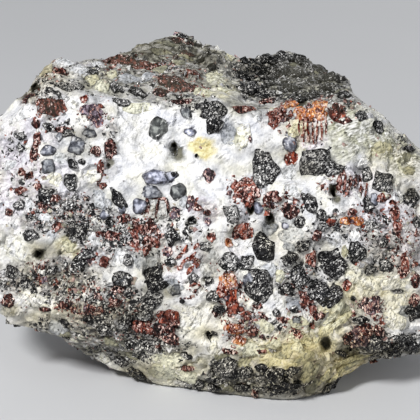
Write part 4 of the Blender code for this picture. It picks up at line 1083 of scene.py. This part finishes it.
def specks(skin, weights, count, radii, seed):
    """Small angular grains, each a dented eight-sided solid, pressed into the stone."""
    rng = np.random.default_rng(seed)
    chosen = rng.choice(len(weights), size=count, p=weights / weights.sum())
    chosen = chosen[skin.face_places[chosen][:, 2] > SPECK_FLOOR_GAP]
    count = len(chosen)
    corners = np.array([(1, 0, 0), (0, 1, 0), (-1, 0, 0), (0, -1, 0), (0, 0, 1), (0, 0, -1)], float)
    ring = [(0, 1), (1, 2), (2, 3), (3, 0)]
    pattern = np.array([(a, b, 4) for a, b in ring] + [(b, a, 5) for a, b in ring])
    radius = rng.uniform(0, 1, count) ** SPECK_BIAS * (radii[1] - radii[0]) + radii[0]
    spin = rng.normal(size=(count, 3))
    out = skin.face_normals[chosen]
    side = np.cross(out, spin)
    side /= np.linalg.norm(side, axis=1)[:, None]
    upward = np.cross(out, side)
    stretch = rng.uniform(*SPECK_LENGTHS, (count, 6, 1))
    local = corners[None] * stretch + rng.normal(0, SPECK_DENT, (count, 6, 3))
    local *= radius[:, None, None]
    local[:, :, 2] *= SPECK_FLATNESS
    middle = skin.face_places[chosen] - out * (radius * SPECK_SUNK)[:, None]
    vertices = (middle[:, None] + local[..., 0:1] * side[:, None] + local[..., 1:2] * upward[:, None]
                + local[..., 2:3] * out[:, None])
    faces = (pattern[None] + 6 * np.arange(count)[:, None, None]).reshape(-1, 3)
    return vertices.reshape(-1, 3), faces.tolist(), np.repeat(rng.uniform(0, 1, count), 6)


# ---- Materials ----
# The finest ore in the matrix: how sharply it gathers where its mineral is, its grains' two sizes, and
# how far, in metres, the pattern of the black grains is moved off that of the red ones.
FINE_POWER = 1.5
RED_ORE_SIZES = (0.35, 0.8)
BLACK_ORE_SIZES = (0.36, 0.9)
BLACK_ORE_SHIFT = (0.013, 0.007, 0.003)


class Shader:
    """A material under construction: each call adds nodes and returns the last one's output.

    Sizes and distances are in millimetres.
    """

    def __init__(self, name):
        self.material = bpy.data.materials.new(name)
        self.material.use_nodes = True
        self.tree = self.material.node_tree
        self.principled = self.tree.nodes["Principled BSDF"]

    def plug(self, sockets, inputs):
        """Links outputs to sockets, and sets sockets to plain values."""
        for key, value in inputs.items():
            if isinstance(value, bpy.types.NodeSocket):
                self.tree.links.new(value, sockets[key])
            else:
                sockets[key].default_value = value

    def node(self, kind, inputs, output=0, **settings):
        made = self.tree.nodes.new("ShaderNode" + kind)
        for key, value in settings.items():
            setattr(made, key, value)
        self.plug(made.inputs, inputs)
        return made.outputs[output]

    def places(self):
        return self.node("TexCoord", {}, "Object")

    def value(self, name):
        """What the vertices carry under a name."""
        return self.node("Attribute", {}, "Fac", attribute_name=name)

    def math(self, operation, first, second=0.0, clamp=False):
        return self.node("Math", {0: first, 1: second}, operation=operation, use_clamp=clamp)

    def plus(self, first, second, clamp=False):
        return self.math("ADD", first, second, clamp)

    def minus(self, first, second, clamp=False):
        return self.math("SUBTRACT", first, second, clamp)

    def times(self, first, second, clamp=False):
        return self.math("MULTIPLY", first, second, clamp)

    def vector(self, operation, first, second=(0, 0, 0)):
        return self.node("VectorMath", {0: first, 1: second}, operation=operation)

    def noise(self, places, size, detail=3.0, output="Fac"):
        inputs = {"Vector": places, "Scale": 1 / (size * MM), "Detail": detail}
        return self.node("TexNoise", inputs, output)

    def cell(self, places, size):
        """A Voronoi cell's colour: three random numbers."""
        return self.node("TexVoronoi", {"Vector": places, "Scale": 1 / (size * MM)}, "Color")

    def channel(self, colour, index=0):
        return self.node("SeparateColor", {0: colour}, index)

    def stretched(self, places, degrees, along, across=1.0):
        """Places seen stretched along an axis that is turned about the depth axis, and across it."""
        inputs = {"Vector": places, "Rotation": (0, -math.radians(degrees), 0), "Scale": (along, across, 1.0)}
        return self.node("Mapping", inputs, vector_type="TEXTURE")

    def fibres(self, places, degrees, along, size, detail=4.0, across=1.0):
        """Noise drawn out along an axis."""
        return self.noise(self.stretched(places, degrees, along, across), size, detail)

    def between(self, value, start, end):
        """0 at the start, 1 at the end."""
        return self.node("MapRange", {"Value": value, "From Min": start, "From Max": end}, "Result")

    def mix(self, share, first, second, blend="MIX"):
        return self.node("Mix", {0: share, 6: first, 7: second}, 2, data_type="RGBA", blend_type=blend)

    def multiplied(self, share, first, second):
        return self.mix(share, first, second, "MULTIPLY")

    def ramp(self, value, stops):
        made = self.tree.nodes.new("ShaderNodeValToRGB")
        self.tree.links.new(value, made.inputs[0])
        elements = made.color_ramp.elements
        while len(elements) < len(stops):
            elements.new(0.5)
        for element, (place, colour) in zip(elements, stops):
            element.position = place
            element.color = (*colour, 1.0)
        return made.outputs[0]

    def swing(self, value, amount):
        """A value from 0 to 1 as one round zero, the amount wide."""
        return self.times(self.minus(value, 0.5), amount)

    def shifted(self, places, colour, amount):
        """Places moved by a colour whose channels lie round a half."""
        move = self.vector("SUBTRACT", colour, (0.5, 0.5, 0.5))
        scaled = self.node("VectorMath", {0: move, "Scale": amount}, operation="SCALE")
        return self.vector("ADD", places, scaled)

    def warped(self, places, size, amount):
        return self.shifted(places, self.noise(places, size, 2.0, "Color"), amount * MM)

    def picked(self, cell, share):
        """1 in as many cells as the share says, 0 in the others."""
        return self.math("LESS_THAN", self.channel(cell), share)

    def speckle(self, places, sizes, share):
        """Grains of two sizes: 1 in them, 0 between them."""
        small, large = (self.picked(self.cell(places, size), share) for size in sizes)
        return self.math("MAXIMUM", small, large)

    def with_painted_glints(self, cell, share, body, glints):
        """A body colour with painted glints in as many of its cells as the share says."""
        return self.mix(self.picked(cell, share), body, self.ramp(self.channel(cell, 1), glints))

    def glitter(self, places, size, strength, height, distance, bump_strength):
        """Normals that jump from facet to facet, on top of a bump."""
        inputs = {"Height": height, "Distance": distance * MM, "Strength": bump_strength}
        bump = self.node("Bump", inputs)
        return self.vector("NORMALIZE", self.shifted(bump, self.cell(places, size), strength))

    def filmed(self, colour):
        """A colour under the films that the vertices carry, which paint shade and warm bounced light as well
        as dust and stains.
        """
        dusted_and_shaded = self.mix(self.value("dust_and_shade"), colour, DUST_AND_SHADE)
        warm = self.multiplied(self.value("warm_stain_and_bounce"), dusted_and_shaded, WARM_STAIN_AND_BOUNCE)
        return self.multiplied(self.value("painted_shade"), warm, PAINTED_SHADE)

    def finish(self, colour, roughness, normal=None, specular=0.5):
        inputs = {"Base Color": colour, "Roughness": roughness, "Specular IOR Level": specular}
        if normal is not None:
            inputs["Normal"] = normal
        self.plug(self.principled.inputs, inputs)
        return self.material


def fine_ore(s, mineral, places, sizes, most, free_of_dust_and_shade):
    """Where the finest grains of a mineral lie in the matrix."""
    share = s.times(s.times(s.math("POWER", s.value(mineral), FINE_POWER), most), free_of_dust_and_shade)
    return s.speckle(places, sizes, share)


def matrix_material():
    """Calcite, with willemite, stains and the finest grains of franklinite and zincite in it."""
    s = Shader("calcite_with_ore")
    places = s.places()
    warped = s.warped(places, size=0.9, amount=0.7)
    fibres = s.fibres(warped, 70, along=3.0, size=0.35)
    fine = s.fibres(warped, 30, along=2.2, size=0.45)
    streaks = s.fibres(warped, -10, along=3.2, across=1.5, size=0.50, detail=5.0)
    slope = s.fibres(s.warped(places, size=2.5, amount=0.5), 24, along=4.0, size=0.30)
    colour = s.ramp(s.noise(places, 3.2), WHITE)
    colour = s.multiplied(0.5, colour, s.ramp(fibres, MATRIX_FIBRES))
    # Painted shade in the low spots of the relief.
    colour = s.multiplied(0.6, colour, s.ramp(s.value("relief"), PAINTED_SHADE_IN_LOW_RELIEF))
    for name, gain, size, edge, ramp in LAYERS:
        patches = s.between(s.noise(warped, size, detail=4.0), *edge)
        share = s.times(s.times(s.value(name), gain), patches, clamp=True)
        colour = s.mix(share, colour, s.ramp(fine, ramp))
    cast = s.ramp(s.noise(places, 1.5, detail=4.0), OLIVE_CAST)
    colour = s.mix(s.value("fibre"), colour, s.multiplied(0.8, s.ramp(slope, FIBRE), cast))
    # Dirt and painted shade: dark streaks where the top faces up and where the bottom turns under.
    grime_and_shade = s.between(s.fibres(warped, -10, along=2.5, size=1.1), 0.34, 0.50)
    grime_and_shade = s.times(s.times(s.value("dirt_and_shade"), 1.3), grime_and_shade, clamp=True)
    colour = s.mix(grime_and_shade, colour, s.ramp(streaks, WEATHERED_AND_SHADED))
    # Less fine ore where dust and painted shade grey the top.
    free_of_dust_and_shade = s.minus(1.0, s.times(s.value("dust_and_shade"), 1.3), clamp=True)
    # The finest ore grains, with painted glints in some of their cells.
    tint = s.cell(places, 0.24)
    red = fine_ore(s, "zincite", warped, RED_ORE_SIZES, 0.62, free_of_dust_and_shade)
    colour = s.mix(red, colour, s.with_painted_glints(tint, 0.18, s.ramp(fine, RED), PAINTED_RED_GLINT))
    black = fine_ore(s, "franklinite", s.vector("ADD", warped, BLACK_ORE_SHIFT), BLACK_ORE_SIZES, 0.75, free_of_dust_and_shade)
    colour = s.mix(black, colour, s.with_painted_glints(tint, 0.22, s.ramp(s.channel(tint, 2), DARK), PAINTED_GLINT))
    colour = s.filmed(colour)
    # Painted shade inside the hollows.
    colour = s.mix(s.between(s.value("hollow_painted_shade"), 0.10, 0.45), colour, HOLLOW_PAINTED_HALF_SHADE)
    colour = s.mix(s.between(s.value("hollow_painted_shade"), 0.52, 0.90), colour, HOLLOW_PAINTED_SHADE)
    height = s.plus(fibres, s.times(s.channel(s.cell(warped, 0.6)), 0.4))
    normal = s.glitter(warped, 0.45, 0.40, height, distance=0.15, bump_strength=0.8)
    inputs = {"Value": s.math("MAXIMUM", red, black), "To Min": 0.50, "To Max": 0.28}
    return s.finish(colour, s.node("MapRange", inputs, "Result"), normal, specular=0.30)


def franklinite_material():
    """Black and submetallic: broad planes, each covered with tiny facets that catch the light, with painted
    glints on some of them and painted light and shade that change from plane to plane.
    """
    s = Shader("franklinite_black")
    places = s.warped(s.places(), size=0.7, amount=0.4)
    facet = s.cell(s.stretched(places, 50, along=1.7), 0.18)
    # Broad planes: painted light and shade, and more or fewer painted glints, from one plane to the next.
    plane = s.channel(s.cell(places, 1.4))
    uneven = s.plus(s.swing(s.noise(places, 0.8), 1.4), s.swing(plane, 0.34))
    share = s.plus(s.times(s.value("tone"), 0.56), uneven)
    share = s.plus(s.minus(share, s.times(s.value("dust_and_shade"), 0.4)), 0.11)
    dark, slate = (s.ramp(s.channel(facet, 2), ramp) for ramp in (DARK, SLATE))
    body = s.mix(s.times(s.value("tone"), plane), dark, slate)
    # Painted glints on some of the tiny facets.
    colour = s.with_painted_glints(facet, share, body, PAINTED_GLINT)
    # Painted shade along the grain's edge.
    colour = s.multiplied(1.0, colour, s.ramp(s.value("rim"), BLACK_RIM_PAINTED_SHADE))
    normal = s.glitter(places, 0.27, 0.9, s.noise(places, 0.35), distance=0.12, bump_strength=0.8)
    return s.finish(s.filmed(colour), 0.22, normal, specular=0.22)


def zincite_material():
    """Deep red, at the low end purplish, at the bright end orange, with painted pinkish glints and painted
    light and shade that change from facet to facet.
    """
    s = Shader("zincite_red")
    places = s.stretched(s.warped(s.places(), size=0.6, amount=0.35), 90, along=1.7)
    facet = s.cell(places, 0.22)
    body = s.noise(places, 0.5, detail=4.0)
    tone = s.plus(s.value("tone"), s.swing(s.noise(places, 1.4), 0.5))
    colour = s.mix(s.between(s.value("tone"), 0.03, 0.12), s.ramp(body, PURPLE), s.ramp(body, MAROON))
    for start, end, ramp in REDS:
        colour = s.mix(s.between(tone, start, end), colour, s.ramp(body, ramp))
    # Painted light and shade from one broad facet to the next.
    colour = s.multiplied(1.0, colour, s.ramp(s.channel(s.cell(places, 0.9)), PAINTED_FACET_LIGHT_AND_SHADE))
    # How many cells get painted glints.
    share = s.plus(s.swing(s.noise(places, 0.9), 1.6), 0.20)
    share = s.plus(s.minus(share, s.value("dust_and_shade")), s.times(s.value("tone"), 0.06))
    colour = s.with_painted_glints(facet, share, colour, PAINTED_RED_GLINT)
    normal = s.glitter(places, 0.24, 0.6, s.noise(places, 0.30), distance=0.10, bump_strength=0.8)
    return s.finish(s.filmed(colour), 0.22, normal, specular=0.22)


def pale_material(name, tones):
    """Pale minerals: a tone along their ramp, with a fibrous grain."""
    s = Shader(name)
    places = s.warped(s.places(), size=0.9, amount=0.5)
    fibres = s.fibres(places, 60, along=2.6, size=0.35)
    cloud = s.swing(s.noise(places, 1.0, detail=4.0), 0.80)
    colour = s.ramp(s.plus(s.value("tone"), cloud, clamp=True), tones)
    colour = s.multiplied(0.8, colour, s.ramp(fibres, PALE_FIBRES))
    # Painted shade along the grain's edge.
    colour = s.multiplied(1.0, colour, s.ramp(s.value("rim"), PALE_RIM_PAINTED_SHADE))
    normal = s.glitter(places, 0.45, 0.45, fibres, distance=0.16, bump_strength=0.9)
    return s.finish(s.filmed(colour), 0.42, normal, specular=0.4)


def crystal_material():
    """Grey crystals with a soft gloss, from greenish to lavender, and dark edges of painted shade."""
    s = Shader("crystal_grey")
    places = s.places()
    cloud = s.noise(s.warped(places, size=1.0, amount=0.6), 0.9, detail=5.0)
    colour = s.mix(s.value("tone"), s.ramp(cloud, GREEN_CRYSTAL), s.ramp(cloud, LAVENDER_CRYSTAL))
    # Painted shade along the crystal's edge, made patchy.
    rim = s.plus(s.value("rim"), s.swing(s.noise(places, 0.6), 1.2))
    colour = s.multiplied(1.0, colour, s.ramp(rim, CRYSTAL_RIM_PAINTED_SHADE))
    height = s.noise(places, 0.4, detail=4.0)
    normal = s.glitter(places, 0.45, 0.12, height, distance=0.10, bump_strength=0.7)
    return s.finish(s.filmed(colour), 0.30, normal)


# ---- Stage ----
def stage():
    """A plain pale floor."""
    s = Shader("floor_pale")
    material = s.finish(s.ramp(s.noise(s.places(), FLOOR_CLOUDS), FLOOR_TONES), 0.7)
    mesh = bpy.data.meshes.new("floor")
    half = FLOOR_HALF * MM
    corners = [(-half, -half, 0), (half, -half, 0), (half, half, 0), (-half, half, 0)]
    mesh.from_pydata(corners, [], [(0, 1, 2, 3)])
    mesh.materials.append(material)
    floor = linked("floor", mesh)
    floor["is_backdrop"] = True


def area_light(name, azimuth, elevation, distance, size, watts, colour):
    """A soft square light that faces the stone."""
    a, e = math.radians(azimuth), math.radians(elevation)
    way = Vector((math.sin(a) * math.cos(e), -math.cos(a) * math.cos(e), math.sin(e)))
    light = bpy.data.lights.new(name, "AREA")
    light.size = size
    light.energy = watts
    light.color = colour
    lamp = linked(name, light)
    lamp.location = AIM * MM + way * distance
    lamp.rotation_euler = way.to_track_quat("Z", "Y").to_euler()


def sky():
    """A weak, even sky, and the view transform."""
    world = bpy.data.worlds.new("sky")
    world.use_nodes = True
    background = world.node_tree.nodes["Background"].inputs
    background["Color"].default_value = SKY_COLOUR
    background["Strength"].default_value = SKY_STRENGTH
    bpy.context.scene.world = world
    bpy.context.scene.view_settings.view_transform = "Standard"


def camera():
    """The photograph's camera."""
    lens = bpy.data.cameras.new("camera")
    lens.sensor_width = SENSOR
    lens.lens = SENSOR * FOCAL / IMAGE
    lens.clip_start = CLIP_START * MM
    made = linked("camera", lens)
    made.location = EYE * MM
    made.rotation_euler = FORWARD.to_track_quat("-Z", "Y").to_euler()
    bpy.context.scene.camera = made


# ---- The whole stone ----
def grain_pieces(skin, finishes):
    """Each mineral's grains, set into the stone."""
    unseen = Unseen(skin)
    taken = []
    for name, shown, finish, slot, spread in GRAIN_PIECES:
        grains = Grains()
        for rows, look, seed in shown:
            photographed(skin, grains, rows, LOOKS[look], seed)
        spread_grains(skin, unseen, grains, LOOKS[spread["look"]], spread, taken)
        grains.piece(name, finishes[finish], slot)


def speck_pieces(skin, finishes):
    """The specks: more of them on ore, fewer on dirt, painted shade and fibres, and hardly any in the
    hollows.
    """
    black, red, green = (skin.shares[mineral] for mineral in ("franklinite", "zincite", "willemite"))
    hollow_painted_shade, dirt_and_shade, fibre = (skin.shares[name] for name in ("hollow_painted_shade", "dirt_and_shade", "fibre"))
    clear = (1 - hollow_painted_shade) ** HOLLOW_POWER * (1 - DIRT_AND_SHADE_HIDES * dirt_and_shade) * (1 - FIBRE_HIDES * fibre)
    clear *= full_where_faced(skin.facing)
    weights = {
        "franklinite_specks": clear * black ** SPECK_POWER,
        "zincite_specks": clear * red ** SPECK_POWER,
        "pale_specks": clear * (black + red + ON_WILLEMITE * green ** 2 + EVERYWHERE),
    }
    for name, finish, slot, count, radii, most_tone, seed in SPECK_PIECES:
        vertices, faces, tones = specks(skin, weights[name], count, radii, seed)
        values = {"tone": tones * most_tone, "rim": np.zeros(len(tones))}
        as_piece(name, vertices, faces, values, finishes[finish], slot)


def build(frame):
    """The matrix, with each mineral's grains and the specks in it."""
    stone, values = matrix_piece(frame["nodes"][NODE])
    finishes = {
        "franklinite": franklinite_material(),
        "zincite": zincite_material(),
        "crystal": crystal_material(),
        "calcite": pale_material("calcite", CALCITE_TONES),
        "willemite": pale_material("willemite", WILLEMITE_TONES),
        "pale": pale_material("pale", PALE_TONES),
    }
    skin = Skin(stone, values)
    grain_pieces(skin, finishes)
    speck_pieces(skin, finishes)


def write_sizes(cad, visual):
    """The CAD model's box and the visual model's, as plain lists."""
    rows = {name: [list(corner) for corner in box] for name, box in (("cad", cad), ("visual", visual))}


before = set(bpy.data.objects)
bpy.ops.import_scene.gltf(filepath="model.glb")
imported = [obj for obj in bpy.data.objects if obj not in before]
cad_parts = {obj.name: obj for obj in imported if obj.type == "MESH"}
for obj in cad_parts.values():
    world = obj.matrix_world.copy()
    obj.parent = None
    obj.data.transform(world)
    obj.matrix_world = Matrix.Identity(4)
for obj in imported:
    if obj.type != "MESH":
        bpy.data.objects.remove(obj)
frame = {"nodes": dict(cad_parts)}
cad_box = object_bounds()
camera()
for light in LIGHTS:
    area_light(*light)
sky()
stage()
build(frame)
write_sizes(cad_box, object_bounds())
